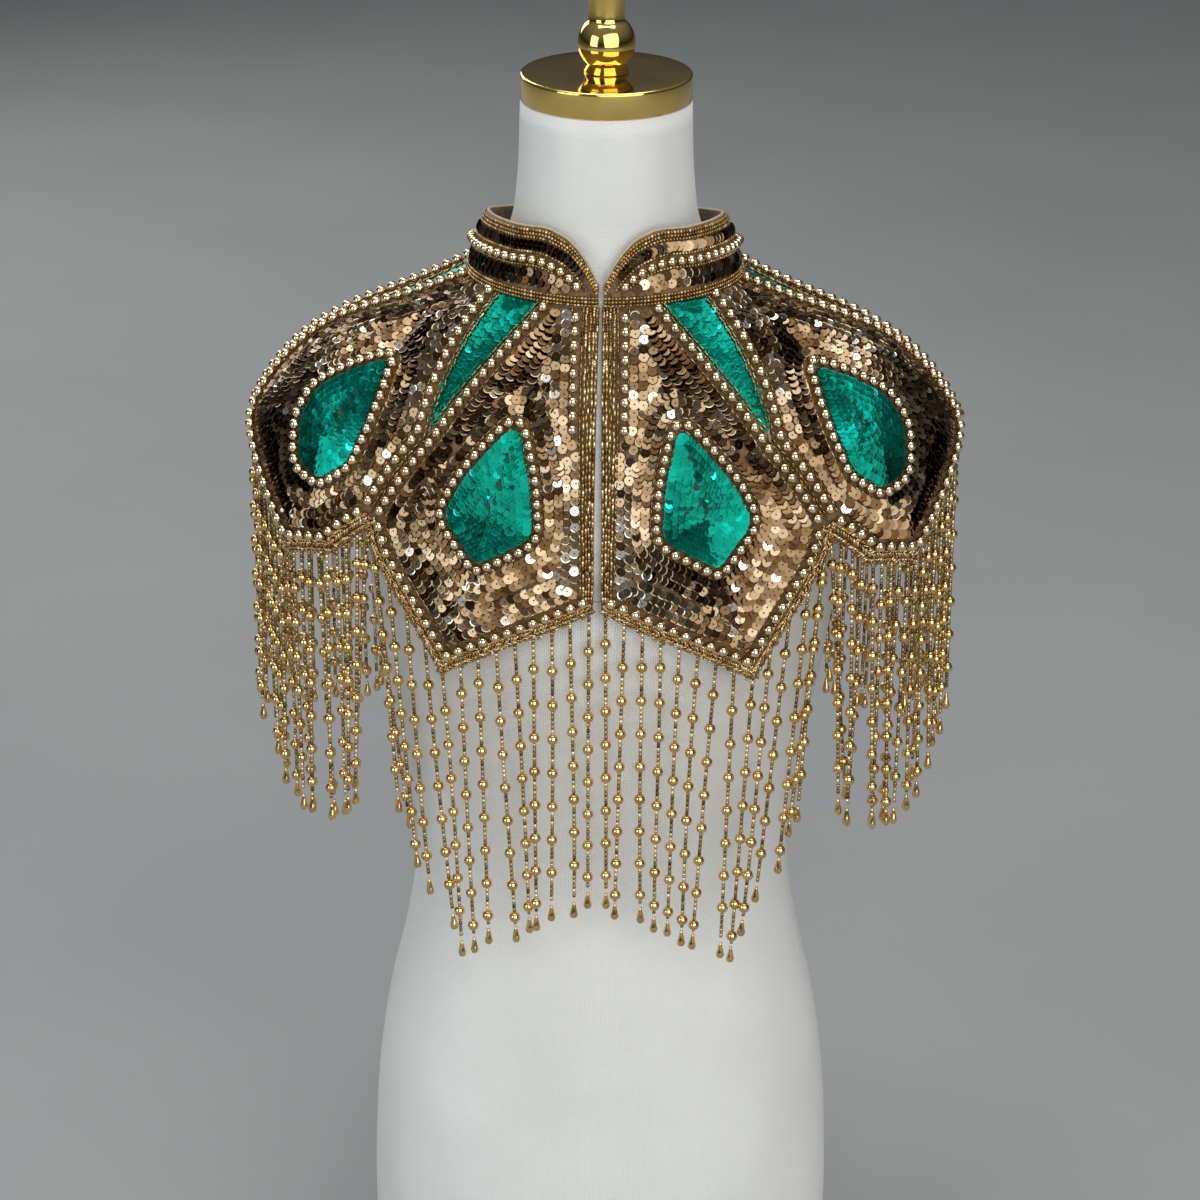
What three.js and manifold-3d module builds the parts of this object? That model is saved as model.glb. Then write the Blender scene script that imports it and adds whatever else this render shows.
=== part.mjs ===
// A beaded capelet with a stand collar, petal panels and a long fringe, standing on a limbless
// dress form. Millimetres, +Z up, the front faces -Y, and +X is the wearer's left.
//
// The cape surface is worked out once, as a function of two measures that a pattern cutter has:
//   q  how far round the neck: 0 at centre front, 1 at centre back, past 1 on the other side
//   s  the distance down the cloth from the neckline
// Flat on the cutting table the cape is a half ring, and every seam is a straight line there.

import * as THREE from 'three';
import { mergeVertices } from 'three/addons/utils/BufferGeometryUtils.js';
import Module from 'manifold-3d';

const wasm = await Module();
wasm.setup();

// ---------------------------------------------------------------- driving sizes

const NECKLINE = { halfWidth: 82, halfDepth: 69, centreY: -3, z: 743 };
const FLAT_NECK_RADIUS = 152.5;
const WALL = 2.0;
const SEAM_INSET = 0.22;
const NECK_SEAM = 2.0;
const RIDGE_HEIGHT = 2.8;

// how the cloth lies: heading is the compass direction it runs out in, and the other columns are
// its slope below level, in degrees, at the distances down the cloth in SLOPE_AT
const SLOPE_AT = [0, 70, 140, 210, 280];
const DRAPE = [
  { q: 0.000, heading: 0, slope: [60, 74, 86, 90, 90] },
  { q: 0.165, heading: 47, slope: [45, 62, 82, 89, 90] },
  { q: 0.280, heading: 67, slope: [34, 44, 70, 86, 88] },
  { q: 0.370, heading: 78, slope: [29, 33, 63, 85, 89] },
  { q: 0.500, heading: 92, slope: [27, 23, 53, 82, 88] },
  { q: 0.620, heading: 107, slope: [32, 28, 58, 84, 88] },
  { q: 0.800, heading: 131, slope: [46, 52, 76, 88, 90] },
  { q: 1.000, heading: 180, slope: [60, 70, 84, 88, 90] },
];

// petal panels, as lines of [q, s] points: from and to are the two sides, each from the neck past
// the tip of the ray beside it down to the notch in the hem, and hem runs from one side to the
// other. fromRidge and toRidge are how far inside the two sides the rows of beads lie.
const SEAM = {
  frontRayTip: [0.213, 101],
  frontNotch: [0.248, 160],
  shoulderRayTip: [0.5, 93],
  shoulderNotch: [0.5, 175],
};
const mirrorSide = ([q, s]) => [1 - q, s];

const FRONT = {
  from: [[0.0018, 0], [0.0050, 183]],
  to: [[0.137, 0], SEAM.frontRayTip, SEAM.frontNotch],
  hem: [[0.0050, 183], [0.172, 238], [0.234, 180], SEAM.frontNotch],
  fromRidge: 13,
  toRidge: 5,
};
const SHOULDER = {
  from: [[0.262, 0], SEAM.frontRayTip, SEAM.frontNotch],
  to: [[0.440, 0], SEAM.shoulderRayTip, SEAM.shoulderNotch],
  hem: [SEAM.frontNotch, [0.290, 193], [0.352, 213], [0.440, 186], SEAM.shoulderNotch],
  fromRidge: 5,
  toRidge: 5,
};
const SHOULDER_BACK = {
  from: SHOULDER.to.map(mirrorSide),
  to: SHOULDER.from.map(mirrorSide),
  hem: SHOULDER.hem.map(mirrorSide).reverse(),
  fromRidge: 5,
  toRidge: 5,
};
const BACK_SIDE = FRONT.to.map(mirrorSide);
const acrossBack = ([q, s]) => [2 - q, s];
const BACK = {
  from: BACK_SIDE,
  to: BACK_SIDE.map(acrossBack),
  hem: [BACK_SIDE[2], [0.772, 182], [1.0, 240], [1.228, 182], acrossBack(BACK_SIDE[2])],
  fromRidge: 5,
  toRidge: 5,
};

// green rays: wedges let in between two panels, from the neck down to a point
const RAY_WALL = 1.4;
const RAY_TIP_WIDTH = 1.2;
const FRONT_RAY = { from: FRONT.to[0], to: SHOULDER.from[0], tip: SEAM.frontRayTip };
const SHOULDER_RAY = { from: SHOULDER.to[0], to: SHOULDER_BACK.from[0], tip: SEAM.shoulderRayTip };
const BACK_RAY = { from: SHOULDER_BACK.to[0], to: BACK.from[0], tip: BACK.from[1] };

// green drops laid on the panels, as outlines of [q, s] points, the pointed end first
const DROP_WALL = 1.3;
const DROP_LIFT = 0.75;
const FRONT_DROP = [
  [0.110, 77], [0.088, 110], [0.082, 142], [0.137, 164], [0.172, 141], [0.159, 119], [0.131, 92],
];
const SHOULDER_DROP = [
  [0.317, 76], [0.345, 92], [0.376, 118], [0.374, 137], [0.348, 158], [0.314, 157],
  [0.288, 138], [0.287, 114], [0.296, 94],
];
const BACK_DROP = [
  [1.000, 70], [0.962, 104], [0.932, 138], [0.945, 160], [1.000, 180],
  [1.055, 160], [1.068, 138], [1.038, 104],
];

// stand collar: its height above the neck seam and how far its top leans in, round to the back
const COLLAR_WALL = 2.2;
const COLLAR_INSIDE = 0.3;
const COLLAR_CURL = 1.2;
const COLLAR_SEAM = 0.8;
const COLLAR = [
  { q: 0.000, height: 9, leanIn: 2 },
  { q: 0.035, height: 24, leanIn: 6 },
  { q: 0.075, height: 34, leanIn: 10 },
  { q: 0.130, height: 40, leanIn: 12 },
  { q: 0.250, height: 40, leanIn: 12 },
  { q: 0.500, height: 36, leanIn: 12 },
  { q: 0.640, height: 30, leanIn: 11 },
  { q: 0.800, height: 25, leanIn: 9 },
  { q: 1.000, height: 24, leanIn: 7 },
];

// fringe: a narrow tape under each hem, with strands that hang from it
const TAPE = { gap: 1.0, width: 4.2, thickness: 2.0 };
const STRAND = { halfWidth: 1.3, dropHalfWidth: 2.6, dropLength: 13, sides: 3 };
// pitch is the level distance between strands, first and last are their lengths at the two ends of
// the hem, and swing is how far they lean to the middle for each mm of hang and mm out from it.
// clear is how far the tape stops short of each end of the hem, and lead how far along it the first
// strand hangs
const FRINGE = {
  front: { pitch: 11.3, lead: 2, first: 206, last: 199, swing: 0.0006, clear: [1.5, 10] },
  shoulder: { pitch: 7.2, lead: 3.6, first: 191, last: 168, swing: 0, clear: [10, 10] },
  shoulderBack: { pitch: 7.2, lead: 3.6, first: 168, last: 191, swing: 0, clear: [10, 10] },
  back: { pitch: 9.6, lead: 4.8, first: 194, last: 194, swing: 0, clear: [10, 10] },
};

// dress form: level sections of the body below the shoulders, from the foot up
const FORM_CLEARANCE = 1.6;
const FORM_SQUARENESS = 2.25;
const BODY = [
  { z: 0, halfWidth: 147, front: 90, back: 96 },
  { z: 7, halfWidth: 153, front: 96, back: 102 },
  { z: 62, halfWidth: 155, front: 98, back: 105 },
  { z: 128, halfWidth: 154, front: 99, back: 106 },
  { z: 185, halfWidth: 150, front: 97, back: 100 },
  { z: 243, halfWidth: 141, front: 92, back: 90 },
  { z: 290, halfWidth: 130, front: 86, back: 79 },
  { z: 353, halfWidth: 122, front: 82, back: 72 },
  { z: 409, halfWidth: 127, front: 88, back: 76 },
  { z: 469, halfWidth: 138, front: 97, back: 84 },
  { z: 520, halfWidth: 146, front: 104, back: 92 },
  { z: 562, halfWidth: 151, front: 107, back: 99 },
];
// round sections of the neck, from its root up
const NECK = [
  { z: 752, halfWidth: 72, halfDepth: 63, centreY: -2 },
  { z: 764, halfWidth: 62.5, halfDepth: 58.5, centreY: -1 },
  { z: 778, halfWidth: 57, halfDepth: 56, centreY: 0 },
  { z: 796, halfWidth: 54.5, halfDepth: 54.5, centreY: 0 },
  { z: 850, halfWidth: 52, halfDepth: 52, centreY: 0 },
];
// how far down the cape the form follows it: at the front and back ends, and at the side
const YOKE = { ends: 150, side: 106, narrowing: 1.4, rings: 6 };
const FORM_POINTS = 48;

const CAP = { radius: 52, bottom: 850.3, top: 866.5, edge: 1.6 };
const FINIAL = { bottom: 866.8, ball: 17.5, ballCentre: 884.5, waist: 10.8, top: 934 };

// ---------------------------------------------------------------- materials

const colour = (hex, roughness, metalness) => new THREE.MeshStandardMaterial({
  color: hex, roughness, metalness, side: THREE.FrontSide,
});
const MATERIAL = {
  linen: colour(0xdedad2, 0.95, 0),
  brass: colour(0xd9a93a, 0.15, 1),
  sequins: colour(0xb58f68, 0.35, 0.6),
  emerald: colour(0x0a7a5c, 0.35, 0.4),
  fringe: colour(0xc79a4b, 0.3, 0.8),
};

// ---------------------------------------------------------------- the cape surface

// a smooth curve through the knots (at, value), level at both ends where flatEnds is true
function smooth(at, value, x, flatEnds) {
  const last = at.length - 1;
  const rise = (i) => (value[i + 1] - value[i]) / (at[i + 1] - at[i]);
  const tangent = (i) => {
    if (i === 0 || i === last) return flatEnds ? 0 : rise(i === 0 ? 0 : last - 1);
    const before = at[i] - at[i - 1];
    const after = at[i + 1] - at[i];
    return (rise(i - 1) * after + rise(i) * before) / (before + after);
  };
  let i = 0;
  while (i < last - 1 && x >= at[i + 1]) i += 1;
  const width = at[i + 1] - at[i];
  const t = (x - at[i]) / width;
  const h01 = t * t * (3 - 2 * t);
  const h10 = t * (1 - t) * (1 - t);
  const h11 = -t * t * (1 - t);
  return (1 - h01) * value[i] + h01 * value[i + 1] + width * (h10 * tangent(i) + h11 * tangent(i + 1));
}

const Q_KNOTS = DRAPE.map((row) => row.q);
const HEADINGS = DRAPE.map((row) => row.heading);
const RUN_STEP = 5;

// the cape's inner face at (q, s)
function capePoint(q, s) {
  const turn = ((q + 1) % 2 + 2) % 2 - 1;
  const side = Math.sign(turn) || 1;
  const round = Math.abs(turn);
  const heading = smooth(Q_KNOTS, HEADINGS, round, false) * Math.PI / 180;
  const slopes = SLOPE_AT.map((_, k) => smooth(Q_KNOTS, DRAPE.map((row) => row.slope[k]), round, true));
  const steps = Math.max(1, Math.ceil(Math.abs(s) / RUN_STEP));
  let out = 0;
  let drop = 0;
  for (let k = 0; k < steps; k += 1) {
    const slope = smooth(SLOPE_AT, slopes, (k + 0.5) * s / steps, false) * Math.PI / 180;
    out += Math.cos(slope) * s / steps;
    drop += Math.sin(slope) * s / steps;
  }
  const angle = Math.PI * round;
  return new THREE.Vector3(
    side * (NECKLINE.halfWidth * Math.sin(angle) + out * Math.sin(heading)),
    NECKLINE.centreY - NECKLINE.halfDepth * Math.cos(angle) - out * Math.cos(heading),
    NECKLINE.z - drop,
  );
}

// the direction straight out of the cloth at (q, s)
function capeNormal(q, s) {
  const dq = 0.004;
  const ds = 2;
  const across = capePoint(q + dq, s).sub(capePoint(q - dq, s));
  const down = capePoint(q, s + ds).sub(capePoint(q, s - ds));
  return down.cross(across).normalize();
}

const offCape = (q, s, lift) => capePoint(q, s).addScaledVector(capeNormal(q, s), lift);

// the cutting table: (q, s) laid flat as a half ring, and back
function toFlat([q, s]) {
  const angle = q * Math.PI / 2;
  const radius = FLAT_NECK_RADIUS + s;
  return new THREE.Vector2(radius * Math.sin(angle), radius * Math.cos(angle));
}
const fromFlat = (point) => [
  Math.atan2(point.x, point.y) / (Math.PI / 2),
  point.length() - FLAT_NECK_RADIUS,
];

// ---------------------------------------------------------------- lines on the table

function lengthsAlong(points) {
  const sums = [0];
  for (let i = 1; i < points.length; i += 1) sums.push(sums[i - 1] + points[i].distanceTo(points[i - 1]));
  return sums;
}

// the point at distance d along a polyline
function pointAlong(points, d) {
  const sums = lengthsAlong(points);
  let i = 0;
  while (i < points.length - 2 && d > sums[i + 1]) i += 1;
  return points[i].clone().lerp(points[i + 1], (d - sums[i]) / (sums[i + 1] - sums[i]));
}

// a polyline moved sideways by distance, to its right as it runs
function shiftLine(points, distance) {
  return points.map((point, i) => {
    const before = (i > 0 ? point.clone().sub(points[i - 1]) : points[1].clone().sub(point)).normalize();
    const next = points[i + 1];
    const after = next ? next.clone().sub(point).normalize() : before;
    const bisector = before.clone().add(after).normalize();
    const stretch = 1 / Math.max(0.5, bisector.dot(before));
    return new THREE.Vector2(bisector.y, -bisector.x).multiplyScalar(distance * stretch).add(point);
  });
}

// ---------------------------------------------------------------- closed meshes

function closedGeometry(points, triangles) {
  const geometry = new THREE.BufferGeometry();
  geometry.setAttribute('position', new THREE.Float32BufferAttribute(points.flatMap((p) => p.toArray()), 3));
  let volume = 0;
  for (const [a, b, c] of triangles) volume += points[a].dot(points[b].clone().cross(points[c]));
  geometry.setIndex(triangles.flatMap(([a, b, c]) => (volume > 0 ? [a, b, c] : [a, c, b])));
  return geometry;
}

// a wall between two faces, each given as rows of points, closed round its rim
function wallGeometry(inner, outer) {
  const rows = inner.length;
  const columns = inner[0].length;
  const points = [...inner.flat(), ...outer.flat()];
  const at = (layer, i, j) => layer * rows * columns + i * columns + j;
  const triangles = [];
  const quad = (a, b, c, d) => triangles.push([a, b, c], [a, c, d]);
  for (let i = 0; i < rows - 1; i += 1) {
    for (let j = 0; j < columns - 1; j += 1) {
      quad(at(0, i, j), at(0, i, j + 1), at(0, i + 1, j + 1), at(0, i + 1, j));
      quad(at(1, i, j), at(1, i + 1, j), at(1, i + 1, j + 1), at(1, i, j + 1));
    }
  }
  for (let i = 0; i < rows - 1; i += 1) {
    quad(at(0, i, 0), at(0, i + 1, 0), at(1, i + 1, 0), at(1, i, 0));
    quad(at(0, i, columns - 1), at(1, i, columns - 1), at(1, i + 1, columns - 1), at(0, i + 1, columns - 1));
  }
  for (let j = 0; j < columns - 1; j += 1) {
    quad(at(0, 0, j), at(1, 0, j), at(1, 0, j + 1), at(0, 0, j + 1));
    quad(at(0, rows - 1, j), at(0, rows - 1, j + 1), at(1, rows - 1, j + 1), at(1, rows - 1, j));
  }
  return closedGeometry(points, triangles);
}

// a solid through closed rings of points, with a flat end at each
function ringsGeometry(rings) {
  const count = rings[0].length;
  const points = rings.flat();
  const triangles = [];
  for (let i = 0; i < rings.length - 1; i += 1) {
    for (let j = 0; j < count; j += 1) {
      const next = (j + 1) % count;
      const [a, b] = [i * count + j, i * count + next];
      triangles.push([a, b, b + count], [a, b + count, a + count]);
    }
  }
  const top = (rings.length - 1) * count;
  for (let j = 1; j < count - 1; j += 1) {
    triangles.push([0, j + 1, j], [top, top + j, top + j + 1]);
  }
  return closedGeometry(points, triangles);
}

// ---------------------------------------------------------------- panels, rays and drops

const ROWS = { aboveElbow: 5, belowElbow: 4 };
const RIDGE_HALF_WIDTH = 3;
const HEM_RIDGE = 6;
const HEM_PULL = 2.2;

// distances across a panel with a column at each side's seam, ridge foot, ridge top and ridge foot
function columnStops(width, panel, middle) {
  const left = [0, -RIDGE_HALF_WIDTH, 0, RIDGE_HALF_WIDTH].map((d, k) => (k ? panel.fromRidge + d : 0));
  const right = [RIDGE_HALF_WIDTH, 0, -RIDGE_HALF_WIDTH].map((d) => width - panel.toRidge - d).concat(width);
  const span = right[0] - left[3];
  const inner = Array.from({ length: middle }, (_, k) => left[3] + span * (k + 1) / (middle + 1));
  return [...left, ...inner, ...right].map((d) => d / width);
}

// the share of a side's length at which it bends, and the point at share t of it, where every side
// of a panel reaches its bend at the same share
const ELBOW = 0.6;
function sidePoint(side, t) {
  const lengths = lengthsAlong(side);
  const total = lengths[lengths.length - 1];
  const bend = side.length > 2 ? lengths[1] : ELBOW * total;
  const along = t < ELBOW ? bend * t / ELBOW : bend + (total - bend) * (t - ELBOW) / (1 - ELBOW);
  return pointAlong(side, along);
}

// columns along the hem, with the nearest column moved to each of its corners
function hemStops(hem, panel, middle) {
  const lengths = lengthsAlong(hem);
  const total = lengths[lengths.length - 1];
  const stops = columnStops(total, panel, middle);
  for (const corner of lengths.slice(1, -1)) {
    const apart = stops.map((stop) => Math.abs(stop - corner / total));
    stops[apart.indexOf(Math.min(...apart))] = corner / total;
  }
  return stops.map((stop) => pointAlong(hem, stop * total));
}

// a panel's points on the table, as rows from the neck to the hem: the straight mesh between its two
// sides, pushed out to the neck's arc at the top and to the hem's points at the bottom
function panelTable(panel, middle) {
  const from = shiftLine(panel.from.map(toFlat), SEAM_INSET);
  const to = shiftLine(panel.to.map(toFlat), -SEAM_INSET);
  const [start, end] = [from, to].map((side) => side[side.length - 1]);
  const hem = hemStops([start, ...panel.hem.slice(1, -1).map(toFlat), end], panel, middle);
  const atHem = columnStops(start.distanceTo(end), panel, middle);
  const down = Math.max(...[from, to].map((side) => lengthsAlong(side).pop()));
  const ridge = [RIDGE_HALF_WIDTH, 0, -RIDGE_HALF_WIDTH, -HEM_RIDGE].map((d) => 1 - (HEM_RIDGE + d) / down);
  const first = NECK_SEAM / down;
  const stretch = (from, to, count) => Array.from({ length: count }, (_, k) => from + (to - from) * k / count);
  const above = stretch(first, ELBOW, ROWS.aboveElbow);
  const below = stretch(ELBOW, ridge[0], ROWS.belowElbow);
  return [...above, ...below, ...ridge].map((t) => {
    const [left, right] = [sidePoint(from, t), sidePoint(to, t)];
    const [q0, s0] = fromFlat(left);
    const [q1, s1] = fromFlat(right);
    return columnStops(left.distanceTo(right), panel, middle).map((share, k) => {
      const arc = toFlat([q0 + (q1 - q0) * share, s0 + (s1 - s0) * share]);
      const point = left.clone().lerp(right, share).lerp(arc, (1 - t) ** 2);
      const straightHem = start.clone().lerp(end, atHem[k]);
      const pull = hem[k].clone().sub(straightHem).multiplyScalar(t ** HEM_PULL);
      return fromFlat(point.add(pull));
    });
  });
}

function panelGeometry(panel, middle) {
  const table = panelTable(panel, middle);
  const last = table[0].length - 1;
  const sideRidges = [2, last - 2];
  const hemRidge = table.length - 3;
  const raised = (i, j) => {
    const alongSide = sideRidges.includes(j) && i <= hemRidge;
    const alongHem = i === hemRidge && j >= sideRidges[0] && j <= sideRidges[1];
    return alongSide || alongHem ? RIDGE_HEIGHT : 0;
  };
  const inner = table.map((row) => row.map(([q, s]) => capePoint(q, s)));
  const outer = table.map((row, i) => row.map(([q, s], j) => offCape(q, s, WALL + raised(i, j))));
  return wallGeometry(inner, outer);
}

// a wedge from the neck seam to a blunt tip, between the two panels it joins
function rayGeometry(ray) {
  const STEPS = 6;
  const COLUMNS = 4;
  const [left, right, tip] = [ray.from, ray.to, ray.tip].map(toFlat);
  const from = shiftLine([left, tip], 3 * SEAM_INSET);
  const to = shiftLine([right, tip], -3 * SEAM_INSET);
  const pullBack = (RAY_TIP_WIDTH + 6 * SEAM_INSET) / left.distanceTo(right);
  const table = Array.from({ length: STEPS + 1 }, (_, i) => {
    const first = NECK_SEAM / tip.distanceTo(left);
    const t = first + (1 - pullBack - first) * i / STEPS;
    const [a, b] = [from, to].map(([start, end]) => fromFlat(start.clone().lerp(end, t)));
    return Array.from({ length: COLUMNS + 1 }, (_unused, j) => (
      [a[0] + (b[0] - a[0]) * j / COLUMNS, a[1] + (b[1] - a[1]) * j / COLUMNS]
    ));
  });
  return wallGeometry(
    table.map((row) => row.map(([q, s]) => capePoint(q, s))),
    table.map((row) => row.map(([q, s]) => offCape(q, s, RAY_WALL))),
  );
}

// a drop laid on its panel: rings of its outline drawn in to its middle, domed a little
function dropGeometry(outline) {
  const RINGS = [1, 0.72, 0.4];
  const DOME = 0.8;
  const corners = outline.map(toFlat);
  const middle = corners.reduce((sum, p) => sum.add(p), new THREE.Vector2()).divideScalar(corners.length);
  const edge = corners.flatMap((p, i) => [p, p.clone().lerp(corners[(i + 1) % corners.length], 0.5)]);
  const layer = (lift, dome) => [
    ...RINGS.map((scale) => edge.map((p) => {
      const [q, s] = fromFlat(middle.clone().lerp(p, scale));
      return offCape(q, s, lift + dome * (1 - scale ** 2));
    })),
    [offCape(...fromFlat(middle), lift + dome)],
  ];
  const count = edge.length;
  const points = [...layer(WALL + DROP_LIFT, 0).flat(), ...layer(WALL + DROP_LIFT + DROP_WALL, DOME).flat()];
  const perLayer = count * RINGS.length + 1;
  const triangles = [];
  for (const [base, flip] of [[0, true], [perLayer, false]]) {
    const add = (a, b, c) => triangles.push(flip ? [a, c, b] : [a, b, c]);
    for (let j = 0; j < count; j += 1) {
      const next = (j + 1) % count;
      for (let i = 0; i < RINGS.length - 1; i += 1) {
        const [a, b] = [base + i * count + j, base + i * count + next];
        add(a, b, b + count);
        add(a, b + count, a + count);
      }
      const ring = base + (RINGS.length - 1) * count;
      add(ring + j, ring + next, base + perLayer - 1);
    }
  }
  for (let j = 0; j < count; j += 1) {
    const next = (j + 1) % count;
    triangles.push([j, next, perLayer + next], [j, perLayer + next, perLayer + j]);
  }
  return closedGeometry(points, triangles);
}

// ---------------------------------------------------------------- collar

function collarGeometry() {
  const STEPS = 4;
  const END = 0.006;
  const stops = [END, 0.018, 0.035, 0.055, 0.075, 0.1, 0.13, 0.17, 0.21, 0.25, 0.3, 0.36, 0.43, 0.5,
    0.57, 0.64, 0.72, 0.8, 0.88, 0.94, 1];
  const halves = [...stops, ...stops.slice(0, -1).map((q) => 2 - q).reverse()];
  const knots = COLLAR.map((row) => row.q);
  const column = (name, q) => smooth(knots, COLLAR.map((row) => row[name]), q <= 1 ? q : 2 - q, false);
  const face = (lift) => halves.map((q) => {
    const seat = offCape(q, NECK_SEAM, WALL).z + COLLAR_SEAM;
    const root = capePoint(q, 0);
    const outward = new THREE.Vector3(root.x, root.y - NECKLINE.centreY, 0).normalize();
    return Array.from({ length: STEPS + 1 }, (_, k) => {
      const up = k / STEPS;
      const out = lift - column('leanIn', q) * up ** COLLAR_CURL;
      return new THREE.Vector3(root.x, root.y, seat + column('height', q) * up).addScaledVector(outward, out);
    });
  });
  return wallGeometry(face(COLLAR_INSIDE), face(COLLAR_INSIDE + COLLAR_WALL));
}

// ---------------------------------------------------------------- fringe

function manifoldOf(geometry) {
  const merged = mergeVertices(geometry);
  return new wasm.Manifold(new wasm.Mesh({
    numProp: 3,
    vertProperties: new Float32Array(merged.attributes.position.array),
    triVerts: new Uint32Array(merged.index.array),
  }));
}

function geometryOf(manifold) {
  const mesh = manifold.getMesh();
  const geometry = new THREE.BufferGeometry();
  geometry.setAttribute('position', new THREE.BufferAttribute(mesh.vertProperties, 3));
  geometry.setIndex(new THREE.BufferAttribute(mesh.triVerts, 1));
  return geometry;
}

// a strand hangs down from its root and ends in a drop
function strandGeometry(root, length, swing) {
  const dropTop = length - STRAND.dropLength;
  const profile = [
    { down: 0, halfWidth: STRAND.halfWidth * 0.7 },
    { down: dropTop, halfWidth: STRAND.halfWidth },
    { down: dropTop + STRAND.dropLength * 0.7, halfWidth: STRAND.dropHalfWidth },
    { down: length, halfWidth: STRAND.halfWidth * 0.5 },
  ];
  return ringsGeometry(profile.map(({ down, halfWidth }) => (
    Array.from({ length: STRAND.sides }, (_, k) => {
      const angle = 2 * Math.PI * k / STRAND.sides;
      const sideways = Math.cos(angle) * halfWidth - root.x * swing * down;
      return new THREE.Vector3(sideways, Math.sin(angle) * halfWidth, -down).add(root);
    })
  )));
}

// the tape under a hem, and its strands
function fringeGeometry(panel, { pitch, lead, first, last: final, swing, clear }) {
  const TAPE_STEP = 13;
  const hem = panel.hem.map(toFlat);
  const start = shiftLine(hem, -TAPE.gap);
  const end = shiftLine(hem, -TAPE.gap - TAPE.width);
  const lengths = lengthsAlong(start);
  const total = lengths[lengths.length - 1];
  const stops = [clear[0]];
  for (const corner of [...lengths.slice(1, -1), total - clear[1]]) {
    const previous = stops[stops.length - 1];
    const steps = Math.max(1, Math.round((corner - previous) / TAPE_STEP));
    for (let k = 1; k <= steps; k += 1) stops.push(previous + (corner - previous) * k / steps);
  }
  const endLengths = lengthsAlong(end);
  const matching = (d) => {
    let i = 0;
    while (i < lengths.length - 2 && d > lengths[i + 1]) i += 1;
    const share = (d - lengths[i]) / (lengths[i + 1] - lengths[i]);
    return endLengths[i] + share * (endLengths[i + 1] - endLengths[i]);
  };
  const table = stops.map((d) => {
    const [near, far] = [fromFlat(pointAlong(start, d)), fromFlat(pointAlong(end, matching(d)))];
    return [near, far];
  });
  const face = (lift) => table.map((row) => row.map(([q, s]) => offCape(q, s, lift)));
  let fringe = manifoldOf(wallGeometry(face(0), face(TAPE.thickness)));

  const FINE = 1;
  const roots = [];
  let walked = pitch - lead;
  let last = null;
  for (let d = clear[0]; d <= total - clear[1]; d += FINE) {
    const middle = pointAlong(start, d).lerp(pointAlong(end, matching(d)), 0.5);
    const here = offCape(...fromFlat(middle), TAPE.thickness / 2);
    if (last) walked += Math.hypot(here.x - last.x, here.y - last.y);
    last = here;
    if (walked < pitch) continue;
    walked -= pitch;
    roots.push({ root: here, length: first + (final - first) * d / total });
  }
  for (const { root, length } of roots) fringe = fringe.add(manifoldOf(strandGeometry(root, length, swing)));
  return geometryOf(fringe);
}

// ---------------------------------------------------------------- dress form

function torsoGeometry() {
  const around = Array.from({ length: FORM_POINTS }, (_, k) => 2 * k / FORM_POINTS);
  const section = (row) => around.map((q) => {
    const angle = Math.PI * q;
    const bend = (v) => Math.sign(v) * Math.abs(v) ** (2 / FORM_SQUARENESS);
    const depth = Math.cos(angle) > 0 ? row.front : row.back;
    return new THREE.Vector3(row.halfWidth * bend(Math.sin(angle)), -depth * bend(Math.cos(angle)), row.z);
  });
  const yokeRing = (share) => around.map((q) => {
    const round = q <= 1 ? q : 2 - q;
    const sideways = Math.sin(Math.PI * round) ** YOKE.narrowing;
    const reach = YOKE.ends + (YOKE.side - YOKE.ends) * sideways;
    return offCape(q, share * reach, -FORM_CLEARANCE);
  });
  const yoke = Array.from({ length: YOKE.rings + 1 }, (_, k) => yokeRing(1 - k / YOKE.rings));
  const neckRing = (row) => around.map((q) => new THREE.Vector3(
    row.halfWidth * Math.sin(Math.PI * q),
    row.centreY - row.halfDepth * Math.cos(Math.PI * q),
    row.z,
  ));
  return ringsGeometry([...BODY.map(section), ...yoke, ...NECK.map(neckRing)]);
}

const lathe = (profile, sides) => {
  const geometry = new THREE.LatheGeometry(profile.map(([r, z]) => new THREE.Vector2(r, z)), sides);
  return geometry.rotateX(Math.PI / 2);
};

function capGeometry() {
  const { radius, bottom, top, edge } = CAP;
  return lathe([[0, bottom], [radius - edge / 2, bottom], [radius, bottom + edge / 2],
    [radius, top - edge], [radius - edge * 0.3, top - edge * 0.3], [radius - edge, top], [0, top]], 48);
}

function finialGeometry() {
  const { bottom, ball, ballCentre, waist, top } = FINIAL;
  const profile = [[0, bottom], [13.2, bottom], [13.6, bottom + 1.4]];
  for (let degrees = -50; degrees <= 50; degrees += 20) {
    const angle = degrees * Math.PI / 180;
    profile.push([ball * Math.cos(angle), ballCentre + ball * Math.sin(angle)]);
  }
  profile.push([waist, ballCentre + 16], [waist + 0.4, ballCentre + 26], [waist + 2.2, top - 12],
    [waist + 2.6, top - 7], [waist + 0.6, top - 2.4], [waist - 4, top - 0.4], [0, top]);
  return lathe(profile, 20);
}

// ---------------------------------------------------------------- the part

const part = new THREE.Group();

function add(name, geometry, material) {
  const mesh = new THREE.Mesh(geometry, material);
  mesh.name = name;
  part.add(mesh);
}

// the other side's copy of a geometry, turned inside out so that it still faces outward
function mirrored(geometry) {
  const copy = geometry.clone().scale(-1, 1, 1);
  const index = copy.index.array;
  for (let i = 0; i < index.length; i += 3) [index[i + 1], index[i + 2]] = [index[i + 2], index[i + 1]];
  return copy;
}

function addPair(name, geometry, material) {
  add(`${name}_left`, geometry, material);
  add(`${name}_right`, mirrored(geometry), material);
}

add('form_torso', torsoGeometry(), MATERIAL.linen);
add('form_neck_cap', capGeometry(), MATERIAL.brass);
add('form_finial', finialGeometry(), MATERIAL.brass);

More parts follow.
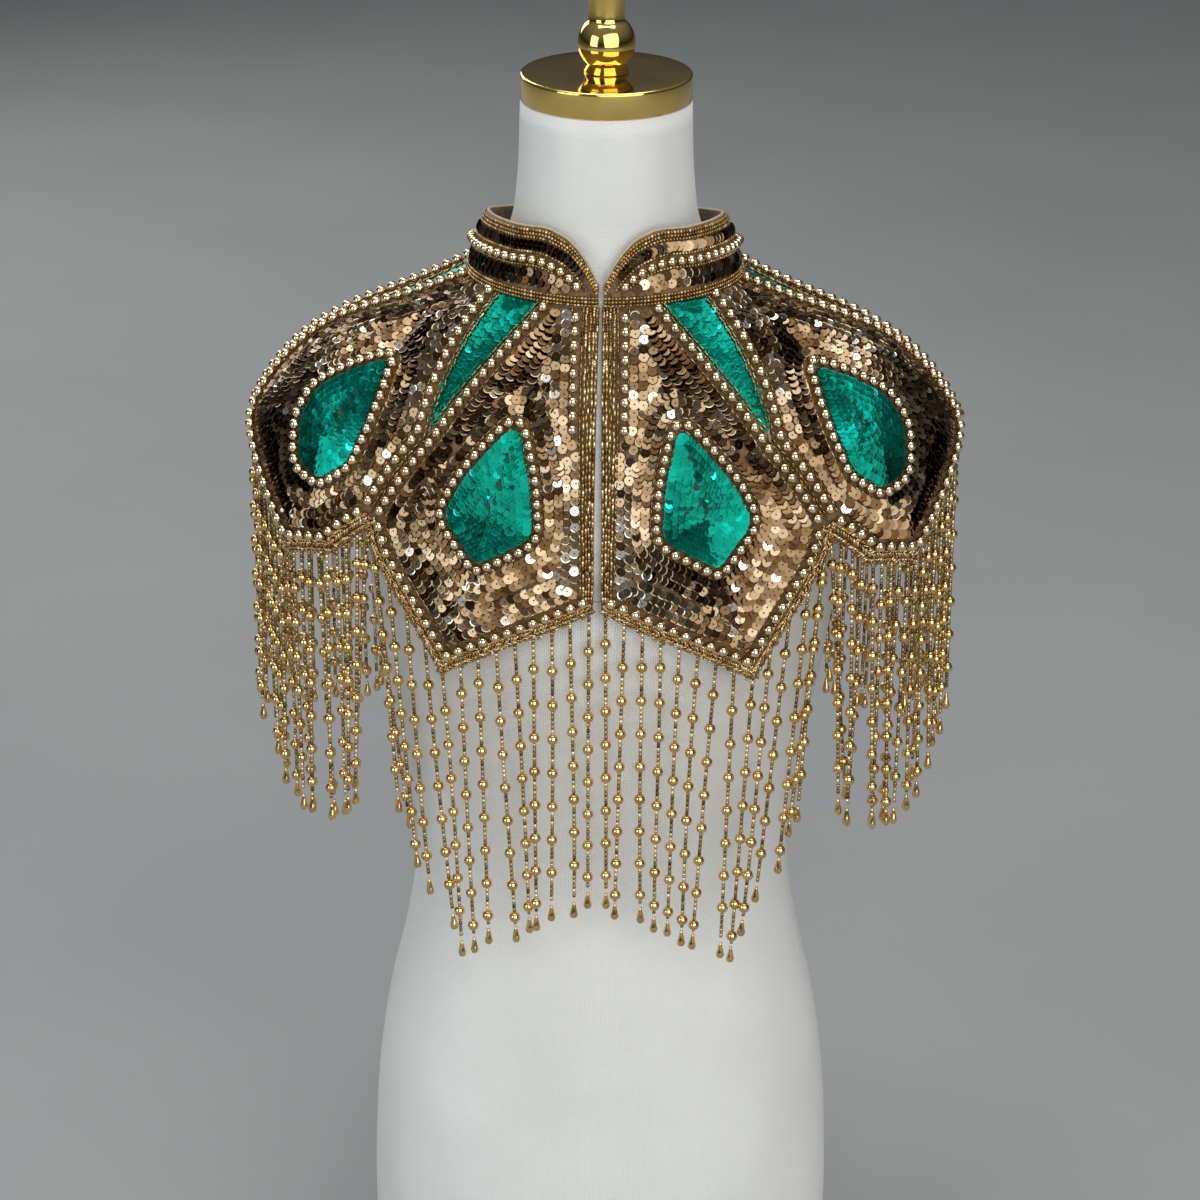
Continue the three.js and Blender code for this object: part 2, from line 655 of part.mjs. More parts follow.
const MIDDLE_COLUMNS = { front: 4, shoulder: 4, back: 7 };
addPair('panel_front', panelGeometry(FRONT, MIDDLE_COLUMNS.front), MATERIAL.sequins);
addPair('panel_shoulder', panelGeometry(SHOULDER, MIDDLE_COLUMNS.shoulder), MATERIAL.sequins);
addPair('panel_shoulder_back', panelGeometry(SHOULDER_BACK, MIDDLE_COLUMNS.shoulder), MATERIAL.sequins);
add('panel_back', panelGeometry(BACK, MIDDLE_COLUMNS.back), MATERIAL.sequins);
add('collar', collarGeometry(), MATERIAL.sequins);

addPair('ray_front', rayGeometry(FRONT_RAY), MATERIAL.emerald);
addPair('ray_shoulder', rayGeometry(SHOULDER_RAY), MATERIAL.emerald);
addPair('ray_back', rayGeometry(BACK_RAY), MATERIAL.emerald);

addPair('drop_front', dropGeometry(FRONT_DROP), MATERIAL.emerald);
addPair('drop_shoulder', dropGeometry(SHOULDER_DROP), MATERIAL.emerald);
addPair('drop_shoulder_back', dropGeometry(SHOULDER_DROP.map(mirrorSide)), MATERIAL.emerald);
add('drop_back', dropGeometry(BACK_DROP), MATERIAL.emerald);

addPair('fringe_front', fringeGeometry(FRONT, FRINGE.front), MATERIAL.fringe);
addPair('fringe_shoulder', fringeGeometry(SHOULDER, FRINGE.shoulder), MATERIAL.fringe);
addPair('fringe_shoulder_back', fringeGeometry(SHOULDER_BACK, FRINGE.shoulderBack), MATERIAL.fringe);
add('fringe_back', fringeGeometry(BACK, FRINGE.back), MATERIAL.fringe);

// the origin is under the middle of the whole part
const extent = new THREE.Box3().setFromObject(part);
part.position.set(0, -(extent.min.y + extent.max.y) / 2, 0);

export default part;
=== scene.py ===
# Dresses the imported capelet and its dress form: linen, polished brass, beaded net, sequins, beads,
# bugles and the long fringe. Sizes are in millimetres until a mesh is made, which is in metres.
#
# The cape surface is the one the CAD part is built on, and has two measures:
#   q  how far round the neck: 0 at centre front, 1 at centre back, past 1 on the other side
#   s  the distance down the cloth from the neckline
# On the table the cape is a half ring, and points there are (x, y) in millimetres. The cape is fuller
# than the half ring in places, so rows of sequins, beads and bugles are set out by distances that are
# measured on the worked cape.

import bpy
import math
import numpy as np
from mathutils import Matrix, Vector


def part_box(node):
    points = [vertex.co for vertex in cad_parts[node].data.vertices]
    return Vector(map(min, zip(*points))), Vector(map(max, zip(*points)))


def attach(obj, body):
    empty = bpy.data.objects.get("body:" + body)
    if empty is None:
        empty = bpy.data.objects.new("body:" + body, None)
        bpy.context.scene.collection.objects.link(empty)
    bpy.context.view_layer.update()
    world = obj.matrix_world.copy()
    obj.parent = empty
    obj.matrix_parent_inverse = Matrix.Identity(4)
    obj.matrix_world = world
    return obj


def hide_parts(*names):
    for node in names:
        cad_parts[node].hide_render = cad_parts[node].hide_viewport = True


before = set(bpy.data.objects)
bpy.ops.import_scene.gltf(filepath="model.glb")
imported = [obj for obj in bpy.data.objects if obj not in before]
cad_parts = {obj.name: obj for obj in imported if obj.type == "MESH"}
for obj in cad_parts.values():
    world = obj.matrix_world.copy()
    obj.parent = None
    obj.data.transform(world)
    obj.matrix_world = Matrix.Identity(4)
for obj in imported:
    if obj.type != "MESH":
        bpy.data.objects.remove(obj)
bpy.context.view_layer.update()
RNG = np.random.default_rng(7)
MM = 0.001

# ------------------------------------------------------------------ sizes shared with the CAD part

cap_low, cap_high = (np.array(corner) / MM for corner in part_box("form_neck_cap"))
NECK_AXIS_Y = float(cap_low[1] + cap_high[1]) / 2

NECKLINE = {"half_width": 82, "half_depth": 69, "centre_y": -3, "z": 743}
FLAT_NECK_RADIUS = 152.5
WALL = 2.0
SEAM_INSET = 0.22
NECK_SEAM = 2.0

SLOPE_AT = np.array([0, 70, 140, 210, 280.0])
DRAPE = np.array([
    # q, heading, and the slope at each SLOPE_AT, in degrees
    (0.000, 0, 60, 74, 86, 90, 90),
    (0.165, 47, 45, 62, 82, 89, 90),
    (0.280, 67, 34, 44, 70, 86, 88),
    (0.370, 78, 29, 33, 63, 85, 89),
    (0.500, 92, 27, 23, 53, 82, 88),
    (0.620, 107, 32, 28, 58, 84, 88),
    (0.800, 131, 46, 52, 76, 88, 90),
    (1.000, 180, 60, 70, 84, 88, 90),
])

FRONT_RAY_TIP = (0.213, 101)
FRONT_NOTCH = (0.248, 160)
SHOULDER_RAY_TIP = (0.5, 93)
SHOULDER_NOTCH = (0.5, 175)


def mirror_side(point):
    return (1 - point[0], point[1])


def across_back(point):
    return (2 - point[0], point[1])


PANELS = {
    "front": {
        "from": [(0.0018, 0), (0.0050, 183)],
        "to": [(0.137, 0), FRONT_RAY_TIP, FRONT_NOTCH],
        "hem": [(0.0050, 183), (0.172, 238), (0.234, 180), FRONT_NOTCH],
    },
    "shoulder": {
        "from": [(0.262, 0), FRONT_RAY_TIP, FRONT_NOTCH],
        "to": [(0.440, 0), SHOULDER_RAY_TIP, SHOULDER_NOTCH],
        "hem": [FRONT_NOTCH, (0.290, 193), (0.352, 213), (0.440, 186), SHOULDER_NOTCH],
    },
}
PANELS["shoulder_back"] = {
    "from": [mirror_side(p) for p in PANELS["shoulder"]["to"]],
    "to": [mirror_side(p) for p in PANELS["shoulder"]["from"]],
    "hem": [mirror_side(p) for p in PANELS["shoulder"]["hem"]][::-1],
}
BACK_SIDE = [mirror_side(p) for p in PANELS["front"]["to"]]
PANELS["back"] = {
    "from": BACK_SIDE,
    "to": [across_back(p) for p in BACK_SIDE],
    "hem": [BACK_SIDE[2], (0.772, 182), (1.0, 240), (1.228, 182), across_back(BACK_SIDE[2])],
}
RAYS = {
    "front": (PANELS["front"]["to"][0], PANELS["shoulder"]["from"][0], FRONT_RAY_TIP),
    "shoulder": (PANELS["shoulder"]["to"][0], PANELS["shoulder_back"]["from"][0], SHOULDER_RAY_TIP),
    "back": (PANELS["shoulder_back"]["to"][0], PANELS["back"]["from"][0], PANELS["back"]["from"][1]),
}
SHOULDER_DROP = [
    (0.317, 76), (0.345, 92), (0.376, 118), (0.374, 137), (0.348, 158), (0.314, 157),
    (0.288, 138), (0.287, 114), (0.296, 94),
]
DROPS = {
    "front": [
        (0.110, 77), (0.131, 92), (0.159, 119), (0.172, 141), (0.137, 164), (0.082, 142), (0.088, 110),
    ],
    "shoulder": SHOULDER_DROP,
    "shoulder_back": [mirror_side(p) for p in SHOULDER_DROP][::-1],
    "back": [
        (1.000, 70), (1.038, 104), (1.068, 138), (1.055, 160), (1.000, 180),
        (0.945, 160), (0.932, 138), (0.962, 104),
    ],
}
DROP_LIFT = 0.75
DROP_WALL = 1.3
RAY_WALL = 1.4

COLLAR_WALL = 2.2
COLLAR_SEAM = 0.8
COLLAR_INSIDE = 0.3
COLLAR_CURL = 1.2
COLLAR = np.array([
    # q, height, lean in
    (0.000, 9, 2), (0.035, 24, 6), (0.075, 34, 10), (0.130, 40, 12), (0.250, 40, 12),
    (0.500, 36, 12), (0.640, 30, 11), (0.800, 25, 9), (1.000, 24, 7),
])

TAPE = {"gap": 1.0, "width": 4.2, "thickness": 2.0}
FRINGE = {
    "front": {"pitch": 11.3, "lead": 2, "first": 206, "last": 199, "swing": 0.0006, "clear": (1.5, 10)},
    "shoulder": {"pitch": 7.2, "lead": 3.6, "first": 191, "last": 168, "swing": 0, "clear": (10, 10)},
    "shoulder_back": {"pitch": 7.2, "lead": 3.6, "first": 168, "last": 191, "swing": 0, "clear": (10, 10)},
    "back": {"pitch": 9.6, "lead": 4.8, "first": 194, "last": 194, "swing": 0, "clear": (10, 10)},
}

FORM_CLEARANCE = 1.6
FORM_SQUARENESS = 2.25
FORM_GIRTH = 840
BODY = [
    # z, half width, front, back
    (0, 147, 90, 96), (7, 153, 96, 102), (62, 155, 98, 105), (128, 154, 99, 106),
    (185, 150, 97, 100), (243, 141, 92, 90), (290, 130, 86, 79), (353, 122, 82, 72),
    (409, 127, 88, 76), (469, 138, 97, 84), (520, 146, 104, 92), (562, 151, 107, 99),
]
NECK = [
    # z, half width, half depth, centre y
    (752, 72, 63, -2), (764, 62.5, 58.5, -1), (778, 57, 56, 0), (796, 54.5, 54.5, 0), (850, 52, 52, 0),
]
BUST_SEAM_Z = 566
YOKE = {"ends": 150, "side": 106, "narrowing": 1.4, "rings": 6}
FORM_COLUMNS = 132
FORM_STEPS = 6
CAP = {"radius": 52, "bottom": 850.3, "top": 866.5, "edge": 1.6, "bevel": 0.6, "sides": 128}
# the radii at which the cap's flat top is divided
CAP_TOP_RINGS = (0.6 * CAP["radius"], 20)
FINIAL = {"bottom": 866.8, "ball": 17.5, "ball_centre": 884.5, "waist": 10.8, "top": 934, "sides": 72}
# its foot, as radius and height above its bottom, and the degrees between which its ball shows
FINIAL_FOOT = [(0, 0), (13.2, 0), (13.6, 0.7)]
FINIAL_BALL = (-49, 50)
# its stem: radius beside the waist's, and height above the ball's centre or below the top
FINIAL_NECK = [(0.1, 14.6), (0, 16), (0.1, 20), (0.5, 26), (1.2, 31)]
FINIAL_HEAD = [(2.2, 12), (2.7, 8.5), (2.5, 6), (1.6, 3.6), (-0.6, 1.8), (-4, 0.6), (-8, 0.15)]

# ------------------------------------------------------------------ sizes of the ornament

SEQUIN = {"radius": 3.25, "hole": 0.55, "cup": 0.1, "sides": 12}
# the pitches of the tightest and the loosest rows, and the lean of their sequins in radians
SEQUIN_LEAN = {"pitch": (3.1, 5.3), "lean": (0.48, 0.05)}
# how far the sequins of a level row turn to face up
SEQUIN_UPTURN = 0.11
GREEN_SEQUIN = {"radius": 2.9, "hole": 0.35, "cup": 0.06, "sides": 8}
SEQUIN_SPACING = 5.5
GREEN_SPACING = 3.7
GREEN_PITCH = 2.7
BEAD_RADIUS = 3.3
# how far apart the beads are along each stretch of an edge, round a drop and down the front column
BEAD_PITCH = {"to": 7.6, "hem": 8.1, "from": 7.6, "hole": 7.0, "column": 8.6}
BUGLE = {"radius": 0.62, "length": 3.7, "sides": 4}
BUGLE_PITCH = 4.7
BAND_BUGLE = {"radius": 0.8, "length": 3.7, "sides": 5}
BAND_PITCH = 4.0
ROPE_BUGLE = {"radius": 0.78, "length": 3.5, "sides": 4}
ROPE_PITCH = 1.75
SEED = {"radius": 0.98, "length": 1.75, "sides": 5}
LOOP_PITCH = 2.05
STRAND_BEAD = {"radius": 3.65, "pitch": 23.0, "uneven": 0.4, "first": (18, 32)}
STRAND_TUBE = {"radius": 1.2, "length": 3.0, "sides": 5}
TUBE_PITCH = 3.35
STRAND_DROP = {"length": 11.5, "gap": 3}
STRAND_DROP_PROFILE = [
    # radius, and height from the drop's middle
    (0, 5.6), (0.9, 5.2), (1.1, 3.6), (2.2, -1.4), (2.7, -3.4), (2.1, -5.2), (0, -5.9),
]
# how much single sequins stray: the spread of turns in radians, of shifts in millimetres, of tints
SEQUIN_SPREAD = {"lean": 0.045, "twist": 0.05, "shift": 0.16, "tint": 0.18}
GREEN_SPREAD = {"lean": 0.035, "twist": 0.035, "shift": 0.15, "tint": 0.09}


# ------------------------------------------------------------------ the cape surface

def smooth(at, value, x, flat_ends=False):
    """A smooth curve through knots: value has the knots on its last axis, and x is one number a row."""
    at = np.asarray(at, float)
    value = np.asarray(value, float)
    rise = np.diff(value, axis=-1) / np.diff(at)
    width = np.diff(at)
    inner = (rise[..., :-1] * width[1:] + rise[..., 1:] * width[:-1]) / (at[2:] - at[:-2])
    ends = np.zeros_like(rise[..., :1]) if flat_ends else rise[..., :1]
    last = np.zeros_like(rise[..., :1]) if flat_ends else rise[..., -1:]
    tangent = np.concatenate([ends, inner, last], axis=-1)
    i = np.clip(np.searchsorted(at, x, side="right") - 1, 0, len(at) - 2)
    span = at[i + 1] - at[i]
    t = (x - at[i]) / span

    def pick(array, k):
        return array[k] if array.ndim == 1 else np.take_along_axis(array, k, axis=-1)

    h01 = t * t * (3 - 2 * t)
    h10 = t * (1 - t) ** 2
    h11 = -t * t * (1 - t)
    slopes = h10 * pick(tangent, i) + h11 * pick(tangent, i + 1)
    return (1 - h01) * pick(value, i) + h01 * pick(value, i + 1) + span * slopes


RUN_STEPS = 30
# half the lengths over which the cape's directions are taken, round the neck and down the cloth
NORMAL_STEPS = (0.004, 2.0)


def cape(q, s):
    """Points on the cape's inner face, in millimetres."""
    q, s = np.broadcast_arrays(np.asarray(q, float), np.asarray(s, float))
    shape = q.shape
    q, s = q.ravel(), s.ravel()
    turn = np.mod(q + 1, 2) - 1
    side = np.where(turn < 0, -1.0, 1.0)
    around = np.abs(turn)
    heading = np.radians(smooth(DRAPE[:, 0], DRAPE[:, 1], around))
    slopes = [smooth(DRAPE[:, 0], column, around, True) for column in DRAPE[:, 2:].T]
    slopes = np.stack(slopes, axis=-1)
    steps = (np.arange(RUN_STEPS) + 0.5) / RUN_STEPS * s[:, None]
    slope = np.radians(smooth(SLOPE_AT, slopes, steps))
    out = np.cos(slope).mean(axis=1) * s
    drop = np.sin(slope).mean(axis=1) * s
    angle = np.pi * around
    x = side * (NECKLINE["half_width"] * np.sin(angle) + out * np.sin(heading))
    y = NECKLINE["centre_y"] - NECKLINE["half_depth"] * np.cos(angle) - out * np.cos(heading)
    z = NECKLINE["z"] - drop
    return np.stack([x, y + NECK_AXIS_Y, z], axis=-1).reshape(shape + (3,))


def unit(vectors):
    return vectors / np.maximum(np.linalg.norm(vectors, axis=-1, keepdims=True), 1e-9)


def cape_normal(q, s):
    step_q, step_s = NORMAL_STEPS
    across = cape(q + step_q, s) - cape(q - step_q, s)
    down = cape(q, s + step_s) - cape(q, s - step_s)
    return unit(np.cross(down, across))


def off_cape(q, s, lift):
    q, s, lift = np.broadcast_arrays(np.asarray(q, float), np.asarray(s, float), np.asarray(lift, float))
    return cape(q, s) + cape_normal(q, s) * lift[..., None]


def to_flat(points):
    points = np.asarray(points, float)
    angle = points[..., 0] * math.pi / 2
    radius = FLAT_NECK_RADIUS + points[..., 1]
    return np.stack([radius * np.sin(angle), radius * np.cos(angle)], axis=-1)


def from_flat(points):
    points = np.asarray(points, float)
    q = np.arctan2(points[..., 0], points[..., 1]) / (math.pi / 2)
    return q, np.hypot(points[..., 0], points[..., 1]) - FLAT_NECK_RADIUS


def cape_places(points, along, lift):
    """Places on the worked cape for points on the table: where, ahead, sideways and out."""
    q, s = from_flat(points)
    out = cape_normal(q, s)
    where = cape(q, s) + out * np.broadcast_to(lift, q.shape)[..., None]
    ahead = cape(*from_flat(points + along)) - cape(*from_flat(points - along))
    ahead = unit(ahead - out * np.sum(ahead * out, axis=-1, keepdims=True))
    return where, ahead, np.cross(out, ahead), out


# ------------------------------------------------------------------ lines on the table

def lengths_along(points):
    return np.concatenate([[0], np.cumsum(np.linalg.norm(np.diff(points, axis=0), axis=1))])


def point_along(points, d):
    sums = lengths_along(points)
    i = np.clip(np.searchsorted(sums, d, side="right") - 1, 0, len(points) - 2)
    t = (d - sums[i]) / (sums[i + 1] - sums[i])
    return points[i] + (points[i + 1] - points[i]) * np.asarray(t)[..., None]


# the least cosine used at a corner of a shifted line, which keeps a sharp corner from running far
SHARPEST = 0.5


def shift_line(points, distance):
    """An open line moved sideways, to its right as it runs."""
    step = unit(np.diff(points, axis=0))
    before = np.vstack([step[:1], step])
    after = np.vstack([step, step[-1:]])
    bisector = unit(before + after)
    stretch = distance / np.maximum(SHARPEST, np.sum(bisector * before, axis=1))
    return points + np.stack([bisector[:, 1], -bisector[:, 0]], axis=1) * stretch[:, None]


def closed(ring):
    return np.vstack([ring, ring[:1]])


def inside(points, ring):
    x, y = points[..., 0][..., None], points[..., 1][..., None]
    a, b = ring, np.roll(ring, -1, axis=0)
    crosses = (a[:, 1] > y) != (b[:, 1] > y)
    with np.errstate(divide="ignore", invalid="ignore"):
        at = (b[:, 0] - a[:, 0]) * (y - a[:, 1]) / (b[:, 1] - a[:, 1]) + a[:, 0]
    return np.sum(crosses & (x < at), axis=-1) % 2 == 1


def cape_lengths(line):
    """Distances along a table line, measured on the worked cape."""
    return lengths_along(cape(*from_flat(line)))


def fine_line(line):
    """The same line with a point at each millimetre."""
    total = lengths_along(line)[-1]
    return point_along(line, np.linspace(0, total, 2 + int(total)))


def line_at(line, walked, at):
    """Points of a line where the distance walked along it is at."""
    return np.stack([np.interp(at, walked, line[:, k]) for k in range(line.shape[1])], axis=1)


# how far to each side of a place the line is looked up for its direction there
REACH = 0.5


def spaced(line, pitch, start=0.5, clear=(0, 0)):
    """Points a pitch apart along a table line on the worked cape, with their directions on the table.

    clear is the length left bare at each end.
    """
    line = fine_line(line)
    walked = cape_lengths(line)
    total = walked[-1] - sum(clear)
    count = max(1, int(round(total / pitch)))
    at = clear[0] + (np.arange(count) + start) * total / count
    here, before, after = (line_at(line, walked, at + step) for step in (0, -REACH, REACH))
    return here, unit(after - before)


# how many places are compared at once, which spares memory
CHUNK = 2000


def nearest(places, others):
    """The distance from each place to the nearest of the others."""
    flat = places.reshape(-1, 3)
    chunks = [flat[k:k + CHUNK] for k in range(0, len(flat), CHUNK)]
    found = [np.linalg.norm(chunk[:, None] - others[None], axis=2).min(axis=1) for chunk in chunks]
    return np.concatenate(found).reshape(places.shape[:-1])


def level_links(up):
    """The sides of a grid's cells that a level line crosses, each with those it runs on to."""
    first = up[:-1, :-1]
    links = {}
    for i, j in np.argwhere((first != up[1:, :-1]) | (first != up[:-1, 1:]) | (first != up[1:, 1:])):
        a, b, c, d = (i, j), (i + 1, j), (i + 1, j + 1), (i, j + 1)
        cut = [side for side in ((a, b), (b, c), (d, c), (a, d)) if up[side[0]] != up[side[1]]]
        for one, other in zip(cut[::2], cut[1::2]):
            links.setdefault(one, []).append(other)
            links.setdefault(other, []).append(one)
    return links


def level_lines(table, height):
    """The lines on a grid of table points along which height is 0."""
    def crossing(side):
        a, b = height[side[0]], height[side[1]]
        return table[side[0]] + (table[side[1]] - table[side[0]]) * a / (a - b)

    links = level_links(height > 0)
    lines = []
    while links:
        start = next((side for side, ends in links.items() if len(ends) == 1), next(iter(links)))
        chain = [start]
        while links.get(chain[-1]):
            after = links[chain[-1]].pop()
            links[after].remove(chain[-1])
            chain.append(after)
        links = {side: ends for side, ends in links.items() if ends}
        lines.append(np.array([crossing(side) for side in chain]))
    return [line for line in lines if len(line) > 2]


# a place far from everything, for a search to start from
NOWHERE = np.full((1, 3), 1e6)


class EdgeMap:
    """How far each place within an outline is from the outline's named stretches, on the worked cape."""

    # the grid's step, and how many steps it passes the outline by
    STEP = 1.5
    MARGIN = 3
    # where a row's first piece may lie, in pitches
    ROW_START = (0.3, 0.7)
    # how many rows a fill tries and how deep the first is, where the rows between them lie, and how
    # near a new piece may come to those placed before, in spacings, in a full row and in the gaps
    FILL_ROWS = 24
    FIRST_ROW = 0.05
    GAP_SHARES = (0.5, 0.25, 0.75)
    ROW_CLOSEST = 0.62
    GAP_CLOSEST = 0.58

    def __init__(self, stretches, hole=None):
        ring = np.vstack([line[:-1] for line in stretches.values()])
        self.low = ring.min(axis=0) - self.MARGIN * self.STEP
        count = np.ceil(np.ptp(ring, axis=0) / self.STEP + 2 * self.MARGIN).astype(int)
        self.table = self.low + np.moveaxis(np.indices(count), 0, -1) * self.STEP
        self.places = cape(*from_flat(self.table))
        within = np.where(inside(self.table, ring), 1, -1)
        self.far = {key: within * self.reach(line) for key, line in stretches.items()}
        if hole is not None:
            self.far["hole"] = np.where(inside(self.table, hole), -1, 1) * self.reach(closed(hole))

    def reach(self, line):
        return nearest(self.places, cape(*from_flat(fine_line(line))))

    def rows(self, depths, pitches, level=0.0):
        """Rows of points along which the least of the distances, each less its own depth, is level.

        A row breaks where it passes from one stretch to another, and is left out beside a stretch
        that has no pitch. Each comes as its points, their directions and its pitch.
        """
        names = list(depths)
        heights = np.stack([self.far[key] - depths[key] for key in names])
        owner = heights.argmin(axis=0)
        rows = []
        for line in level_lines(self.table, heights.min(axis=0) - level):
            index = np.round((line - self.low) / self.STEP).astype(int)
            pitch = np.array([pitches.get(names[k], 0) for k in owner[index[:, 0], index[:, 1]]])
            breaks = np.flatnonzero(np.diff(pitch)) + 1
            for stretch in np.split(np.arange(len(line)), breaks):
                if pitch[stretch[0]] and len(stretch) > 2:
                    row = spaced(line[stretch], pitch[stretch[0]], RNG.uniform(*self.ROW_START))
                    rows.append((*row, pitch[stretch[0]]))
        return rows

    def fill(self, depths, pitches, spacing):
        """Rows side by side that fill what is left within the depths."""
        full = [(k * spacing + self.FIRST_ROW, self.ROW_CLOSEST * spacing) for k in range(self.FILL_ROWS)]
        gaps = [((k + share) * spacing, self.GAP_CLOSEST * spacing)
                for share in self.GAP_SHARES for k in range(self.FILL_ROWS)]
        filled, placed = [], NOWHERE
        for level, closest in full + gaps:
            for points, ahead, pitch in self.rows(depths, pitches, level):
                where = cape(*from_flat(points))
                keep = nearest(where, placed) > closest
                placed = np.vstack([placed, where[keep]])
                filled.append((points[keep], ahead[keep], pitch))
        return [row for row in filled if len(row[0])]


# ------------------------------------------------------------------ meshes

def mesh_object(name, points_mm, faces, material, smooth_shading=True, tint=None, uv=None):
    mesh = bpy.data.meshes.new(name)
    mesh.from_pydata((np.asarray(points_mm) * MM).tolist(), [], [tuple(map(int, f)) for f in faces])
    if smooth_shading:
        mesh.polygons.foreach_set("use_smooth", [True] * len(mesh.polygons))
    if tint is not None:
        layer = mesh.attributes.new("tint", "FLOAT", "POINT")
        layer.data.foreach_set("value", np.asarray(tint, float))
    if uv is not None:
        layer = mesh.uv_layers.new(name="cloth")
        if len(uv) == len(mesh.vertices):
            corners = np.zeros(len(mesh.loops), int)
            mesh.loops.foreach_get("vertex_index", corners)
            uv = np.asarray(uv)[corners]
        layer.data.foreach_set("uv", (np.asarray(uv) * MM).ravel())
    mesh.materials.append(material)
    mesh.update()
    thing = bpy.data.objects.new(name, mesh)
    bpy.context.scene.collection.objects.link(thing)
    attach(thing, "root")
    return thing


def grid_faces(rows, columns, offset=0, wrap=False, flip=False):
    i, j = np.meshgrid(np.arange(rows - 1), np.arange(columns if wrap else columns - 1), indexing="ij")
    i, j = i.ravel() * columns, j.ravel()
    k = (j + 1) % columns
    quads = np.stack([i + j, i + k, i + columns + k, i + columns + j], axis=1)
    return (quads[:, ::-1] if flip else quads) + offset


def shell_object(name, inner, outer, material, uv):
    """A thin closed wall between two grids of points."""
    rows, columns = inner.shape[:2]
    count = rows * columns
    faces = [grid_faces(rows, columns), grid_faces(rows, columns, count, flip=True)]
    index = np.arange(count).reshape(rows, columns)
    rim = np.concatenate([index[0, :-1], index[:-1, -1], index[-1, :0:-1], index[:0:-1, 0]])
    after = np.roll(rim, -1)
    faces.append(np.stack([rim, rim + count, after + count, after], axis=1))
    faces = np.concatenate(faces)
    points = np.concatenate([inner.reshape(-1, 3), outer.reshape(-1, 3)])
    a, b, c, d = (points[faces[:, k]] - points[0] for k in range(4))
    if np.sum(a * (np.cross(b, c) + np.cross(c, d))) < 0:
        faces = faces[:, ::-1]
    flat = uv.reshape(-1, 2)
    return mesh_object(name, points, faces, material, uv=np.concatenate([flat, flat]))


class Stamp:
    """Many copies of one small form gathered into one mesh, each with its own place and tint."""

    def __init__(self, form, material, smooth_shading=True):
        self.points, self.faces = form
        self.material, self.smooth_shading = MATERIAL[material], smooth_shading
        self.placed, self.tints = [], []

    def add(self, where, ahead, sideways, out, tint):
        along, across, up = (self.points[None, :, k:k + 1] for k in range(3))
        self.placed.append(where[:, None] + along * ahead[:, None] + across * sideways[:, None]
                           + up * out[:, None])
        self.tints.append(tint)

    def object(self, name):
        placed = np.concatenate(self.placed)
        copies, size = placed.shape[:2]
        faces = [tuple(v + k * size for v in face) for k in range(copies) for face in self.faces]
        tint = np.repeat(np.concatenate(self.tints), size)
        return mesh_object(name, placed.reshape(-1, 3), faces, self.material, self.smooth_shading, tint)


def stamped(stamps):
    """The pieces made from stamps, by name."""
    return {name: stamp.object(name) for name, stamp in stamps.items()}


def lathe_form(profile, sides, axis="out"):
    """A round form about its third axis, or about its first when axis is ahead."""
    points, faces, rings = [], [], []
    for radius, height in profile:
        if radius == 0:
            rings.append([len(points)])
            points.append((0, 0, height))
            continue
        rings.append(list(range(len(points), len(points) + sides)))
        for k in range(sides):
            angle = 2 * math.pi * k / sides
            points.append((radius * math.cos(angle), radius * math.sin(angle), height))
    for lower, upper in zip(rings, rings[1:]):
        for k in range(sides):
            n = (k + 1) % sides
            if len(lower) == 1:
                faces.append((lower[0], upper[n], upper[k]))
            elif len(upper) == 1:
                faces.append((lower[k], lower[n], upper[0]))
            else:
                faces.append((lower[k], lower[n], upper[n], upper[k]))
    points = np.array(points, float)
    return (points[:, [2, 0, 1]] if axis == "ahead" else points), faces


def ball_form(radius, sides=10, rings=6):
    angles = [math.pi * (k / rings - 0.5) for k in range(1, rings)]
    profile = [(radius * math.cos(a), radius * math.sin(a)) for a in angles]
    return lathe_form([(0, -radius), *profile, (0, radius)], sides)


# where a sequin's rim starts to turn up, and a bugle's narrow end and its bevel, in shares of the radius
SEQUIN_RIM = 0.8
TUBE_END = 0.62
TUBE_BEVEL = 0.25


def sequin_form(radius, hole, cup, sides):
    """A flat disc with a hole, and a rim that turns up."""
    return lathe_form([(radius, cup), (SEQUIN_RIM * radius, 0), (hole, 0)], sides)


def tube_form(radius, length, sides):
    half, end, bevel = length / 2, TUBE_END * radius, TUBE_BEVEL * radius
    profile = [(end, -half), (radius, -half + bevel), (radius, half - bevel), (end, half)]
    return lathe_form(profile, sides, axis="ahead")


# ------------------------------------------------------------------ materials

